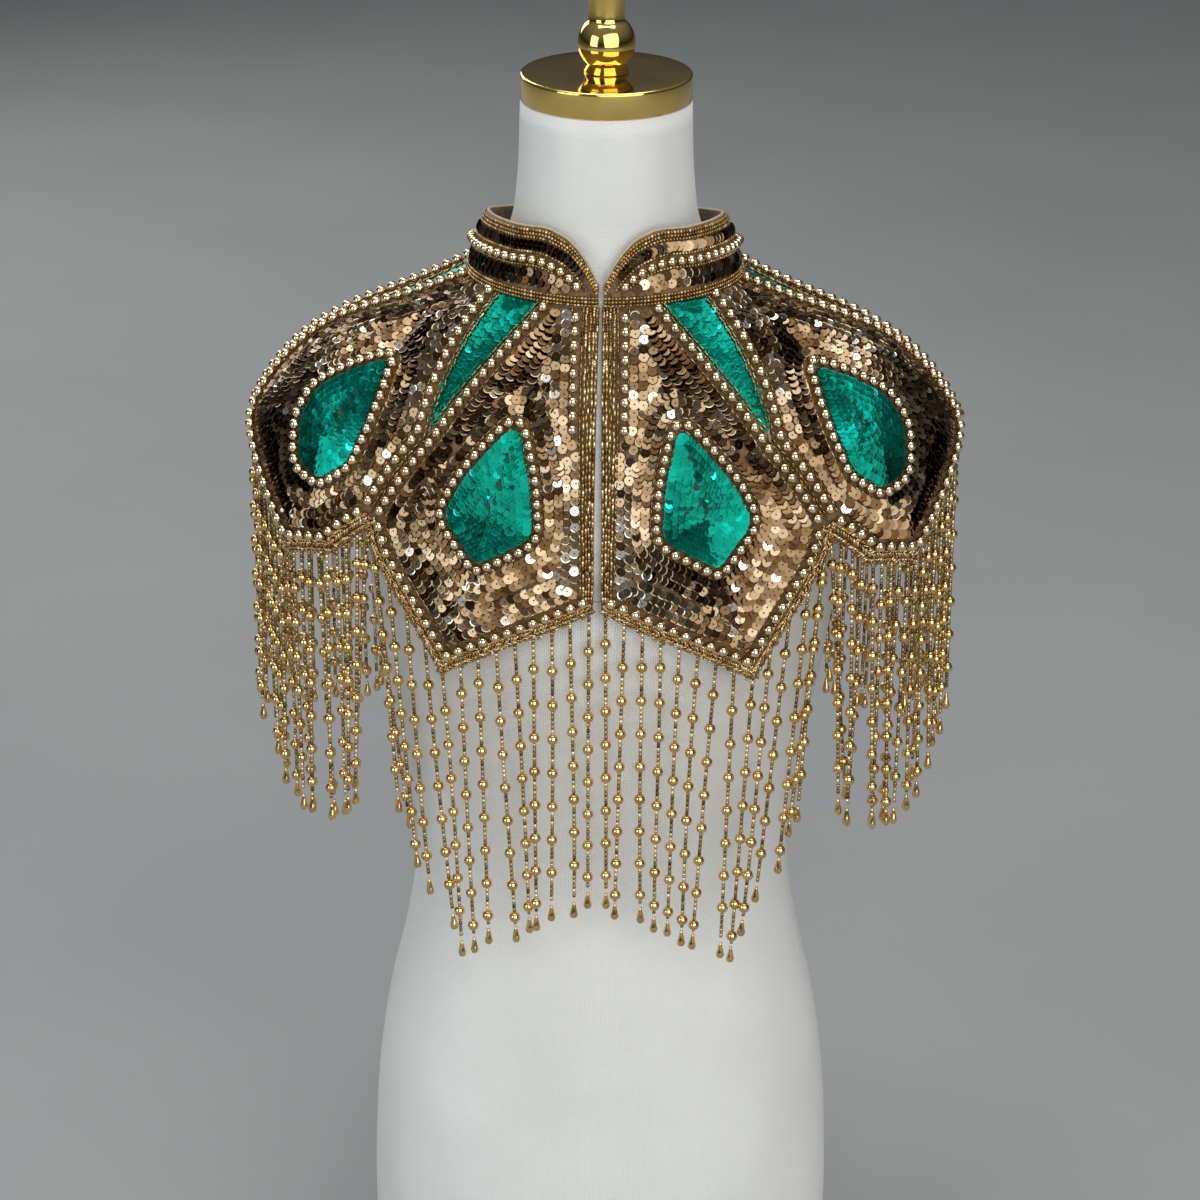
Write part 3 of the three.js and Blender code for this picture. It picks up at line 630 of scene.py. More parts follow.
class NodeTree:
    """The nodes of a material or a world, each added by one call that gives its output."""

    def __init__(self, owner):
        self.owner = owner
        owner.use_nodes = True

    def fit(self, node, inputs):
        """Sets a node's inputs: an output is linked, and anything else is a value."""
        for key, value in inputs.items():
            if isinstance(value, bpy.types.NodeSocket):
                self.owner.node_tree.links.new(value, node.inputs[key])
            else:
                node.inputs[key].default_value = value

    def add(self, kind, output, inputs=None, **settings):
        node = self.owner.node_tree.nodes.new(f"ShaderNode{kind}")
        for key, value in settings.items():
            setattr(node, key, value)
        self.fit(node, inputs or {})
        return node.outputs[output]

    def noise(self, place, scale, detail, roughness=0.5):
        inputs = {"Vector": place, "Scale": scale, "Detail": detail, "Roughness": roughness}
        return self.add("TexNoise", "Fac", inputs)

    def calculate(self, operation, *values):
        return self.add("Math", "Value", dict(enumerate(values)), operation=operation)

    def spread(self, value, low, high, top=1.0):
        """A value from 0 to top, spread from low to high."""
        inputs = {"Value": value, "From Max": top, "To Min": low, "To Max": high}
        return self.add("MapRange", "Result", inputs)

    def bump(self, height, strength, distance):
        return self.add("Bump", "Normal", {"Height": height, "Strength": strength, "Distance": distance})

    def ramp(self, value, stops):
        colour = self.add("ValToRGB", "Color", {"Fac": value})
        elements = colour.node.color_ramp.elements
        while len(elements) < len(stops):
            elements.new(0.5)
        for element, (position, rgb) in zip(elements, stops):
            element.position = position
            element.color = (*rgb, 1)
        return colour

    def finish(self, inputs, shader="Principled BSDF"):
        self.fit(self.owner.node_tree.nodes[shader], inputs)
        return self.owner


def new_surface(name, coordinates="Object"):
    """A new material's nodes, and its coordinates: of the object, or of the cloth's own layout."""
    tree = NodeTree(bpy.data.materials.new(name))
    if coordinates == "cloth":
        return tree, tree.add("UVMap", "UV", uv_map="cloth")
    return tree, tree.add("TexCoord", coordinates)


def tinted_metal(name, stops, roughness, metallic=1.0, coat=0.0):
    """A shiny material whose colour each small piece takes from its own tint."""
    tree, place = new_surface(name)
    grain = tree.noise(place, 420.0, 2.0)
    return tree.finish({
        "Base Color": tree.ramp(tree.add("Attribute", "Fac", attribute_name="tint"), stops),
        "Metallic": metallic,
        "Coat Weight": coat,
        "Roughness": tree.spread(grain, roughness * 0.7, roughness * 1.4),
    })


def linen_material():
    tree, cloth = new_surface("linen", "cloth")
    threads = []
    for direction in ("X", "Y"):
        inputs = {"Vector": cloth, "Scale": 260.0, "Distortion": 2.2, "Detail": 1.0, "Detail Scale": 1.5}
        threads.append(tree.add("TexWave", "Fac", inputs, wave_type="BANDS", bands_direction=direction))
    weave = tree.calculate("MULTIPLY", *threads)
    slubs = tree.calculate("ADD", weave, tree.noise(cloth, 90.0, 4.0))
    mottled = tree.calculate("MULTIPLY_ADD", weave, 0.5, tree.noise(cloth, 7.0, 3.0))
    colour = tree.ramp(mottled, [(0.35, (0.76, 0.775, 0.755)), (0.95, (0.93, 0.945, 0.925))])
    height = tree.add("SeparateXYZ", "Z", {"Vector": tree.add("TexCoord", "Object")})
    away = tree.calculate("ABSOLUTE", tree.calculate("SUBTRACT", height, BUST_SEAM_Z * MM))
    seam = {0: colour, "Scale": tree.spread(away, 0.45, 1.0, 0.0009)}
    return tree.finish({
        "Base Color": tree.add("VectorMath", "Vector", seam, operation="SCALE"),
        "Normal": tree.bump(slubs, 0.6, 0.0005),
        "Roughness": 0.92,
        "Sheen Weight": 0.15,
        "Sheen Roughness": 0.5,
    })


def brass_material():
    tree, place = new_surface("polished_brass")
    wear = tree.noise(place, 60.0, 5.0)
    return tree.finish({
        "Base Color": tree.ramp(wear, [(0.3, (0.83, 0.58, 0.15)), (0.7, (0.92, 0.68, 0.22))]),
        "Roughness": tree.spread(wear, 0.05, 0.13),
        "Metallic": 1.0,
    })


def net_material(name, dark, light):
    """Fine net over a coloured backing, as it shows between the rows."""
    tree, cloth = new_surface(name, "cloth")
    cells = {"Vector": cloth, "Scale": 900.0}
    cells = tree.add("TexVoronoi", "Distance", cells, feature="DISTANCE_TO_EDGE")
    return tree.finish({
        "Base Color": tree.ramp(tree.noise(cloth, 240.0, 5.0, 0.7), [(0.36, dark), (0.66, light)]),
        "Normal": tree.bump(cells, 0.6, 0.0004),
        "Roughness": 0.65,
        "Sheen Weight": 0.2,
    })


def plain_cloth(name, colour):
    tree, place = new_surface(name)
    fibre = tree.noise(place, 900.0, 3.0)
    dark = tuple(0.75 * c for c in colour)
    return tree.finish({
        "Base Color": tree.ramp(fibre, [(0.35, dark), (0.65, colour)]),
        "Normal": tree.bump(fibre, 0.4, 0.0003),
        "Roughness": 0.85,
    })


MATERIAL = {
    "linen": linen_material(),
    "brass": brass_material(),
    "net": net_material("beaded_net", (0.050, 0.024, 0.007), (0.26, 0.145, 0.05)),
    "green_net": net_material("green_net", (0.002, 0.03, 0.018), (0.005, 0.07, 0.045)),
    # the sequins' top stop is the near-white of their painted glints
    "sequins": tinted_metal("champagne_sequins", [
        (0.0, (0.022, 0.010, 0.004)), (0.3, (0.092, 0.050, 0.021)), (0.6, (0.265, 0.183, 0.103)),
        (0.9, (0.48, 0.37, 0.24)), (1.0, (0.86, 0.79, 0.68)),
    ], 0.14),
    # the green sequins' top stop is the cyan of their painted glints
    "emerald": tinted_metal("emerald_sequins", [
        (0.0, (0.0, 0.085, 0.054)), (0.5, (0.0, 0.21, 0.15)), (0.85, (0.0, 0.40, 0.32)),
        (1.0, (0.04, 0.78, 0.80)),
    ], 0.25, 0.92),
    "beads": tinted_metal("gold_beads", [(0.0, (0.74, 0.56, 0.35)), (1.0, (0.90, 0.75, 0.53))], 0.07),
    "bugles": tinted_metal("bugles", [
        (0.0, (0.12, 0.05, 0.008)), (0.6, (0.47, 0.28, 0.08)), (1.0, (0.94, 0.78, 0.46)),
    ], 0.15, 0.85, 0.4),
    "fringe": tinted_metal("fringe_beads", [(0.0, (0.68, 0.44, 0.17)), (1.0, (0.88, 0.65, 0.32))], 0.08),
    "fringe_tubes": tinted_metal("fringe_tubes", [
        (0.0, (0.14, 0.075, 0.022)), (0.6, (0.44, 0.29, 0.10)), (1.0, (0.92, 0.76, 0.46)),
    ], 0.16, 0.85, 0.4),
    "binding": plain_cloth("collar_binding", (0.55, 0.46, 0.31)),
}

# ------------------------------------------------------------------ cloth of the panels, rays and drops

# the share of a side at which it bends, and how closely a panel's lower rows follow its hem
ELBOW = 0.6
HEM_PULL = 2.2
# rows and columns of points over each sheet
PANEL_GRID = {"front": (44, 30), "shoulder": (44, 34), "shoulder_back": (44, 34), "back": (48, 60)}
RAY_GRID = (24, 8)
DROP_RINGS = 9
TAPE_GRID = (3, 60)
# points along a panel's neck edge, a ray's, and each side of a drop with its corners
NECK_POINTS = 9
RAY_NECK_POINTS = 5
DROP_SIDE_POINTS = 6
RAY_TIP_WIDTH = 1.2
# how large a drop's innermost ring is beside its outline, and how much thicker a drop is there
DROP_CORE = 0.08
DROP_DOME = 0.8
DROP_SCALES = np.linspace(1, DROP_CORE, DROP_RINGS)[:, None, None]


def side_point(side, t):
    """The point at share t of a side, which reaches its bend at share ELBOW."""
    total = lengths_along(side)[-1]
    bend = lengths_along(side)[1] if len(side) > 2 else ELBOW * total
    along = np.where(t < ELBOW, bend * t / ELBOW, bend + (total - bend) * (t - ELBOW) / (1 - ELBOW))
    return point_along(side, along)


def panel_table(name):
    """A grid of table points over a panel: rows from the neck to the hem."""
    panel = PANELS[name]
    rows, columns = PANEL_GRID[name]
    side_from = shift_line(to_flat(panel["from"]), SEAM_INSET)
    side_to = shift_line(to_flat(panel["to"]), -SEAM_INSET)
    hem = to_flat(panel["hem"])
    hem[0], hem[-1] = side_from[-1], side_to[-1]
    first = NECK_SEAM / max(lengths_along(side_from)[-1], lengths_along(side_to)[-1])
    t = np.unique(np.concatenate([np.linspace(first, ELBOW, rows // 2), np.linspace(ELBOW, 1, rows // 2)]))
    left, right = side_point(side_from, t)[:, None], side_point(side_to, t)[:, None]
    share = np.linspace(0, 1, columns)
    total = lengths_along(hem)[-1]
    for corner in lengths_along(hem)[1:-1]:
        share[np.argmin(np.abs(share - corner / total))] = corner / total
    hem_points = point_along(hem, share * total)
    straight = left + (right - left) * share[None, :, None]
    (q0, s0), (q1, s1) = from_flat(left), from_flat(right)
    curved = to_flat(np.stack([q0 + (q1 - q0) * share, s0 + (s1 - s0) * share], axis=-1))
    near_neck = ((1 - t) ** 2)[:, None, None]
    pull = hem_points - (hem[0] + (hem[-1] - hem[0]) * share[:, None])
    return straight + (curved - straight) * near_neck + pull * (t ** HEM_PULL)[:, None, None]


def ray_table(name):
    start, end, tip = (to_flat(p) for p in RAYS[name])
    left = shift_line(np.array([start, tip]), 3 * SEAM_INSET)
    right = shift_line(np.array([end, tip]), -3 * SEAM_INSET)
    pull_back = (RAY_TIP_WIDTH + 6 * SEAM_INSET) / np.linalg.norm(start - end)
    first = NECK_SEAM / np.linalg.norm(start - tip)
    rows, columns = RAY_GRID
    t = np.linspace(first, 1 - pull_back, rows)[:, None]
    sides = [np.stack(from_flat(line[0] + (line[1] - line[0]) * t), axis=-1) for line in (left, right)]
    share = np.linspace(0, 1, columns)[None, :, None]
    return to_flat(sides[0][:, None] + (sides[1] - sides[0])[:, None] * share)


def mirrored(points):
    return points * np.array([-1.0, 1.0, 1.0])


# what has no mirror image: the back panel, its drop and its fringe
SINGLE = ("back", "panel_back", "drop_back", "fringe_back")


def sides_of(name):
    """The node names for a piece, each with its side: +1 on the wearer's left, -1 on the right."""
    return [(name, 1)] if name in SINGLE else [(f"{name}_left", 1), (f"{name}_right", -1)]


def drop_ring(name):
    """A drop's outline on the table, its corners a little rounded but for its tip."""
    corners = to_flat(DROPS[name])
    share = np.linspace(0, 1, DROP_SIDE_POINTS)[:-1, None]
    ring = np.vstack([a + (b - a) * share for a, b in zip(corners, np.roll(corners, -1, axis=0))])
    tip = np.argmax(np.linalg.norm(ring - corners.mean(axis=0), axis=1))
    soft = 0.25 * np.roll(ring, 1, axis=0) + 0.5 * ring + 0.25 * np.roll(ring, -1, axis=0)
    soft[tip] = ring[tip]
    return soft


def drop_table(name):
    """Rings of table points over a drop, from its outline in, each closed by its first point."""
    ring = drop_ring(name)
    middle = ring.mean(axis=0)
    table = middle + (ring[None] - middle) * DROP_SCALES
    return np.concatenate([table, table[:, :1]], axis=1)


def tape_table(name):
    """Rows of table points along the narrow tape under a hem that the fringe hangs from."""
    hem = to_flat(PANELS[name]["hem"])
    start, end = FRINGE[name]["clear"]
    rows, columns = TAPE_GRID
    lines = [shift_line(hem, -TAPE["gap"] - TAPE["width"] * share) for share in np.linspace(0, 1, rows)]
    return np.stack([point_along(line, np.linspace(start, lengths_along(line)[-1] - end, columns))
                     for line in lines])


DROP_BASE = WALL + DROP_LIFT
# how each kind of cloth is laid out, from what height to what height above the cape's inner face it
# reaches, its material and its slot
CLOTH = {
    "panel": (panel_table, 0, WALL, "net", "champagne_sequins"),
    "ray": (ray_table, 0, RAY_WALL, "green_net", "emerald_sequins"),
    "drop": (drop_table, DROP_BASE, DROP_BASE + DROP_WALL + DROP_DOME * (1 - DROP_SCALES ** 2),
             "green_net", "emerald_sequins"),
    "fringe": (tape_table, 0, TAPE["thickness"], "net", "fringe_beads"),
}


def cloth_pieces(kind, name):
    """A panel, ray, drop or tape and its mirror image, by node, each with its table."""
    table_of, low, high, material, slot = CLOTH[kind]
    table = table_of(name)
    q, s = from_flat(table)
    points, normal = cape(q, s), cape_normal(q, s)
    walls = points + normal * low, points + normal * high
    pieces = {}
    for node, side in sides_of(f"{kind}_{name}"):
        inner, outer = walls if side > 0 else map(mirrored, walls)
        piece = shell_object(f"cloth_{node}", inner, outer, MATERIAL[material], table)
        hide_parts(node)
        pieces[node] = (piece, table)
    return pieces


# ------------------------------------------------------------------ ornament on the cape

def random_tints(mean, spread, count):
    return np.clip(RNG.normal(mean, spread, count), 0, 1)


def both_sides(stamp, places, tint, pair):
    """Stamps places and, for a pair, their mirror images, with the same tints in another order."""
    stamp.add(*places, tint)
    if pair:
        where, ahead, sideways, out = (mirrored(part) for part in places)
        stamp.add(where, ahead, -sideways, out, RNG.permutation(tint))


def turned(one, other, angle):
    """Two directions turned in their own plane, from the first towards the other."""
    return one * np.cos(angle) + other * np.sin(angle), other * np.cos(angle) - one * np.sin(angle)


def leaned(places, lean, twist):
    """Places turned about their sideways axis, and about their ahead axis, by angles in radians."""
    where, ahead, sideways, out = places
    ahead, out = turned(ahead, out, lean[:, None])
    sideways, out = turned(sideways, out, twist[:, None])
    return where, ahead, sideways, out


def panel_outline(name):
    """A panel's outline on the table in named stretches, end to end all the way round."""
    panel = PANELS[name]
    side_from, side_to, hem = (to_flat(panel[key]) for key in ("from", "to", "hem"))
    neck = to_flat(np.linspace(panel["from"][0], panel["to"][0], NECK_POINTS))
    outline = {"neck": neck, "to": side_to, "hem": hem[::-1], "from": side_from[::-1]}
    if name == "front":
        length = lengths_along(side_from)[-1]
        step = length - CENTRE_FRONT["bead_end"] + CENTRE_FRONT["turn"]
        edge = outline.pop("from")
        outline["low_front"] = point_along(edge, np.array([0, step]))
        outline["high_front"] = point_along(edge, np.array([step, length]))
    return outline


# how far in from each stretch of a panel's outline its rows lie
BEAD_DEPTH = {"neck": 0, "to": 4.6, "hem": 5.0, "from": 4.6, "low_front": 3, "high_front": 3}
SEAM_DEPTH = {"neck": 1.5, "to": 0.9, "hem": 4.0, "from": 0.9, "low_front": 8, "high_front": 8}
LINE_DEPTH = {"neck": 1.5, "to": 8.5, "hem": 8.9, "from": 8.5, "low_front": 8.4, "high_front": 16.2}
SEQUIN_DEPTH = {"neck": 4.5, "to": 11.9, "hem": 12.3, "from": 11.9, "low_front": 11.6, "high_front": 19.6}
# how far apart the sequins are along the rows beside each stretch and beside the drop, the hole;
# the closer they are, the more they stand up
# the tighter rows also get darker painted shade in their sequins' tints
SEQUIN_PITCHES = {
    "front": {"neck": 4.6, "to": 3.5, "hem": 4.4, "low_front": 5.4, "high_front": 5.3, "hole": 4.0},
    "shoulder": {"neck": 4.8, "to": 3.9, "hem": 3.1, "from": 5.2, "hole": 4.0},
    "shoulder_back": {"neck": 4.8, "to": 5.2, "hem": 3.1, "from": 3.9, "hole": 4.0},
    "back": {"neck": 5.0, "to": 4.2, "hem": 3.8, "from": 4.2, "hole": 4.2},
}
# how far out from a drop its rows lie
DROP_ROWS = {"inner_line": 1.4, "beads": 5.1, "outer_line": 8.9, "sequins": 12.2}
# the bead column beside the front edge, and the band of bugles along it; below the column the
# sequins reach nearer to the edge
CENTRE_FRONT = {"column": 12.4, "bead_end": 78, "turn": 8, "line": 8.7, "band": (1.1, 3.0, 4.9, 6.8)}
# the tints of the sequins: painted shade darkens the tight rows, where leaning sequins overlap;
# slow patches of painted shade and reflection lie over the cloth, and a few sequins get a painted glint
SEQUIN_TINT = {"least": 0.01, "overlap_shade_by_pitch": 0.11, "painted_shade_patches": 0.6, "unglinted_share": 0.975, "glint_tint": 1.0}
# the green sequins' tints: slow patches of painted shade and reflection, and a few painted glints
GREEN_TINT = {"mean": 0.45, "painted_shade_patches": 0.5, "unglinted_share": 0.985, "glint_tint": 0.97}
GREEN_TURN = {"lean": 0.15, "twist": 0.08}
# the depth of the green sequins, and of a ray's line of bugles, within their outline
GREEN_DEPTH = 1.3
RAY_LINE_DEPTH = 1.0
# the seeds of the patches of painted shade and reflection in the tints, and the waves that they are summed
# from, with a third of their usual length in millimetres
SHADE_PATCH_SEEDS = {"sequins": 11, "drops": 23, "rays": 31}
SHADE_PATCH_WAVES = {"count": 5, "third": (14, 40), "phase": 6.3, "divisor": 7}
# half the length over which the direction of a row of sequins is taken on the worked cape
SEQUIN_REACH = 1.5
# rows that climb more than this run the other way
STEEPEST_CLIMB = -0.15
LEAST_TINT = 0.02
# how far pieces stand off the cloth under them, besides their own radius
SEAT = {"sequin": 0.5, "green": 0.3, "bead": 0.35, "bugle": 0.25, "band": 0.2}
RAY_SEAT = {"green": -0.3, "bugle": 0.9}
BEAD_LIFT = WALL + SEAT["bead"] + BEAD_RADIUS
BUGLE_LIFT = WALL + SEAT["bugle"] + BUGLE["radius"]
BAND_LIFT = WALL + SEAT["band"] + BAND_BUGLE["radius"]
# the bead row lies a hair within its depths, where its line has no doubtful corners
BEAD_LEVEL = 0.01
# the tints of the band of bugles at centre front, and how unevenly they lie and start
BAND_LOOK = {"tint": (0.58, 0.3), "uneven": 0.26}
BAND_START = (0.2, 0.8)


def painted_shade_patches(points, seed):
    """Slow patches of painted shade and reflection, from about -0.5 to 0.5 over the cloth, the same for
    each run.
    """
    rng = np.random.default_rng(seed)
    total = np.zeros(len(points))
    for _ in range(SHADE_PATCH_WAVES["count"]):
        wave = rng.normal(size=2) / rng.uniform(*SHADE_PATCH_WAVES["third"])
        total += np.sin(points @ wave * 2 * math.pi / 3 + rng.uniform(0, SHADE_PATCH_WAVES["phase"]))
    return total / SHADE_PATCH_WAVES["divisor"]


def downward(points, ahead):
    """Row directions turned, where they climb, to run down the cloth."""
    climb = np.sum(ahead * unit(points), axis=1) < STEEPEST_CLIMB
    return np.where(climb[:, None], -ahead, ahead)


def painted_glints(tint, facts):
    """Tints of which a few, drawn at random, are bright: painted glints."""
    return np.where(RNG.random(len(tint)) > facts["unglinted_share"], facts["glint_tint"], tint)


def add_sequins(stamp, name, edge_map, pair):
    depths = {key: SEQUIN_DEPTH[key] for key in panel_outline(name)}
    depths["hole"] = DROP_ROWS["sequins"]
    for points, ahead, pitch in edge_map.fill(depths, SEQUIN_PITCHES[name], SEQUIN_SPACING):
        count = len(points)
        ahead = downward(points, ahead)
        lean = np.interp(pitch, SEQUIN_LEAN["pitch"], SEQUIN_LEAN["lean"])
        lean = lean + RNG.normal(0, SEQUIN_SPREAD["lean"], count)
        points = points + RNG.normal(0, SEQUIN_SPREAD["shift"], points.shape)
        lift = WALL + SEAT["sequin"] + SEQUIN["radius"] * np.sin(lean)
        places = cape_places(points, ahead * SEQUIN_REACH, lift)
        twist = RNG.normal(0, SEQUIN_SPREAD["twist"], count) - SEQUIN_UPTURN * places[2][:, 2]
        # the tint: painted shade darker on tight rows, slow patches of painted shade and reflection, and a
        # few painted glints
        tint = SEQUIN_TINT["least"] + SEQUIN_TINT["overlap_shade_by_pitch"] * pitch
        tint = tint + SEQUIN_TINT["painted_shade_patches"] * painted_shade_patches(points, SHADE_PATCH_SEEDS["sequins"])
        tint = painted_glints(tint + RNG.normal(0, SEQUIN_SPREAD["tint"], count), SEQUIN_TINT)
        both_sides(stamp, leaned(places, lean, twist), np.clip(tint, LEAST_TINT, 1), pair)


def add_green(stamp, edge_map, lift, pair, seed):
    depths, pitches = (dict.fromkeys(edge_map.far, value) for value in (GREEN_DEPTH, GREEN_PITCH))
    for points, ahead, _ in edge_map.fill(depths, pitches, GREEN_SPACING):
        count = len(points)
        ahead = downward(points, ahead)
        points = points + RNG.normal(0, GREEN_SPREAD["shift"], points.shape)
        lean = GREEN_TURN["lean"] + RNG.normal(0, GREEN_SPREAD["lean"], count)
        height = lift + SEAT["green"] + GREEN_SEQUIN["radius"] * np.sin(lean)
        places = cape_places(points, ahead * SEQUIN_REACH, height)
        twist = GREEN_TURN["twist"] + RNG.normal(0, GREEN_SPREAD["twist"], count)
        # the tint: slow patches of painted shade and reflection, and a few painted glints
        tint = GREEN_TINT["mean"] + GREEN_TINT["painted_shade_patches"] * painted_shade_patches(points, seed)
        tint = painted_glints(tint + RNG.normal(0, GREEN_SPREAD["tint"], count), GREEN_TINT)
        both_sides(stamp, leaned(places, lean, twist), np.clip(tint, 0, 1), pair)


def add_rows(stamp, rows, lift, pair, tint=(0.5, 0.2), uneven=0.0):
    """Beads or bugles on the cape along rows of table points."""
    for points, ahead, *_ in rows:
        points = points + RNG.normal(0, uneven, points.shape) if uneven else points
        both_sides(stamp, cape_places(points, ahead, lift), random_tints(*tint, len(points)), pair)


def dress_panel_edges(name, edge_map, beads, bugles):
    """The beads and the lines of bugles along a panel's outline and round its drop."""
    pair = name not in SINGLE
    bead_pitches = {key: BEAD_PITCH[key] for key in ("to", "hem", "from")}
    line_pitches = dict.fromkeys(("to", "hem", "from", "high_front"), BUGLE_PITCH)
    seam_pitches = dict.fromkeys(("to", "from"), BUGLE_PITCH)
    edge_rows = [
        (beads, BEAD_LIFT, BEAD_DEPTH, bead_pitches, BEAD_LEVEL),
        (bugles, BUGLE_LIFT, LINE_DEPTH, line_pitches, 0.0),
        (bugles, BUGLE_LIFT, SEAM_DEPTH, seam_pitches, 0.0),
    ]
    for stamp, lift, depths, pitches, level in edge_rows:
        depths = {key: depths[key] for key in panel_outline(name)}
        add_rows(stamp, edge_map.rows(depths, pitches, level), lift, pair)
    drop_rows = [
        (beads, BEAD_LIFT, "beads", BEAD_PITCH["hole"]),
        (bugles, BUGLE_LIFT, "inner_line", BUGLE_PITCH),
        (bugles, BUGLE_LIFT, "outer_line", BUGLE_PITCH),
    ]
    for stamp, lift, row, pitch in drop_rows:
        add_rows(stamp, edge_map.rows({"hole": DROP_ROWS[row]}, {"hole": pitch}), lift, pair)


def dress_centre_front(beads, bugles, band):
    """The bugle band and line and the bead column beside each front edge."""
    edge = to_flat(PANELS["front"]["from"])
    line = spaced(shift_line(edge, CENTRE_FRONT["line"]), BUGLE_PITCH, clear=(1, 8))
    add_rows(bugles, [line], BUGLE_LIFT, True)
    column = shift_line(edge, CENTRE_FRONT["column"])
    clear = (BEAD_RADIUS + 1, cape_lengths(fine_line(column))[-1] - CENTRE_FRONT["bead_end"])
    add_rows(beads, [spaced(column, BEAD_PITCH["column"], clear=clear)], BEAD_LIFT, True)
    for depth in CENTRE_FRONT["band"]:
        row = spaced(shift_line(edge, depth), BAND_PITCH, RNG.uniform(*BAND_START), (0.5, 1.5))
        add_rows(band, [row], BAND_LIFT, True, **BAND_LOOK)


def dress_ray(name, green, bugles):
    start, end, tip = (to_flat(p) for p in RAYS[name])
    neck = to_flat(np.linspace(RAYS[name][1], RAYS[name][0], RAY_NECK_POINTS))
    edge_map = EdgeMap({"left": np.array([start, tip]), "right": np.array([tip, end]), "neck": neck})
    add_green(green, edge_map, RAY_WALL + RAY_SEAT["green"], True, SHADE_PATCH_SEEDS["rays"])
    pitches = dict.fromkeys(("left", "right"), BUGLE_PITCH)
    rows = edge_map.rows(dict.fromkeys(edge_map.far, RAY_LINE_DEPTH), pitches)
    add_rows(bugles, rows, RAY_WALL + RAY_SEAT["bugle"] + BUGLE["radius"], True)


def dress_panels():
    """All sequins, beads and bugles on the panels, rays and drops."""
    green = Stamp(sequin_form(**GREEN_SEQUIN), "emerald", False)
    beads = Stamp(ball_form(BEAD_RADIUS), "beads")
    bugles = Stamp(tube_form(**BUGLE), "bugles")
    band = Stamp(tube_form(**BAND_BUGLE), "bugles")
    pieces = {}
    for name in PANELS:
        pair = name not in SINGLE
        drop = drop_ring(name)
        edge_map = EdgeMap(panel_outline(name), drop)
        sequins = Stamp(sequin_form(**SEQUIN), "sequins", False)
        add_sequins(sequins, name, edge_map, pair)
        pieces.update(stamped({f"sequins_{name}": sequins}))
        dress_panel_edges(name, edge_map, beads, bugles)
        if name == "front":
            dress_centre_front(beads, bugles, band)
        drop_map = EdgeMap({"edge": closed(drop)})
        add_green(green, drop_map, DROP_BASE + DROP_WALL, pair, SHADE_PATCH_SEEDS["drops"])
    for name in RAYS:
        dress_ray(name, green, bugles)
    trim = {"green_sequins": green, "edge_beads": beads, "bugle_lines": bugles, "front_bands": band}
    return {**pieces, **stamped(trim)}


# ------------------------------------------------------------------ hem trim

# rows along a hem: inward distance from the cloth's edge, lift, and the slant of the bugles in radians
ROPE_ROWS = [(1.5, 3.0, 0.62), (-0.9, 3.1, -0.62), (-3.2, 2.6, 0.62)]
LOOP_ROW = (-5.0, 1.6, 0)
# how the pieces of these rows lie: how far apart, the length left bare at each end, how much they
# stray from the row and from its lift, and their tints
ROPE_LIE = {"pitch": ROPE_PITCH, "clear": (1.5, 1.5), "stray": 0.22, "heave": 0.3, "tint": (0.62, 0.2)}
LOOP_LIE = {"pitch": LOOP_PITCH, "clear": (2, 2), "stray": 0.7, "heave": 0.4, "tint": (0.6, 0.2)}
SLANT_SPREAD = 0.16


def dress_hem_row(stamp, hem, row, lie, pair):
    depth, lift, slant = row
    points, ahead = spaced(shift_line(hem, depth), lie["pitch"], clear=lie["clear"])
    count = len(points)
    points = points + RNG.normal(0, lie["stray"], points.shape)
    if slant:
        angle = (slant + RNG.normal(0, SLANT_SPREAD, count))[:, None]
        ahead, _ = turned(ahead, np.stack([ahead[:, 1], -ahead[:, 0]], axis=1), angle)
    places = cape_places(points, ahead, lift + RNG.uniform(-lie["heave"], lie["heave"], count))
    both_sides(stamp, places, random_tints(*lie["tint"], count), pair)


def dress_hems():
    """The braid of slanting bugles that covers each hem and its tape, with loops of seeds below."""
    bugles = Stamp(tube_form(**ROPE_BUGLE), "bugles")
    seeds = Stamp(tube_form(**SEED), "bugles")
    for name, panel in PANELS.items():
        hem = to_flat(panel["hem"])
        for row in ROPE_ROWS:
            dress_hem_row(bugles, hem, row, ROPE_LIE, name not in SINGLE)
        dress_hem_row(seeds, hem, LOOP_ROW, LOOP_LIE, name not in SINGLE)
    return stamped({"hem_braid": bugles, "hem_loops": seeds})


# ------------------------------------------------------------------ fringe

# the strands' roots are found by walking along a tape in steps, as the CAD part does
ROOT_STEP = 1.0
# the last strand at a hem's end, as a distance from it
END_STRAND = 3.6


def fringe_roots(name):
    """Where the strands hang from, on the tape under a hem, and how long each is."""
    facts = FRINGE[name]
    hem = to_flat(PANELS[name]["hem"])
    near = shift_line(hem, -TAPE["gap"])
    far = shift_line(hem, -TAPE["gap"] - TAPE["width"])
    near_sums, far_sums = lengths_along(near), lengths_along(far)
    total = near_sums[-1]
    at = np.arange(facts["clear"][0], total - facts["clear"][1] + 1e-6, ROOT_STEP)
    middle = (point_along(near, at) + point_along(far, np.interp(at, near_sums, far_sums))) / 2
    here = off_cape(*from_flat(middle), TAPE["thickness"] / 2)
    walked = facts["pitch"] - facts["lead"]
    roots = []
    for i in range(1, len(at)):
        walked += math.hypot(*(here[i] - here[i - 1])[:2])
        if walked < facts["pitch"]:
            continue
        walked -= facts["pitch"]
        length = facts["first"] + (facts["last"] - facts["first"]) * at[i] / total
        roots.append((here[i], length))
    return roots


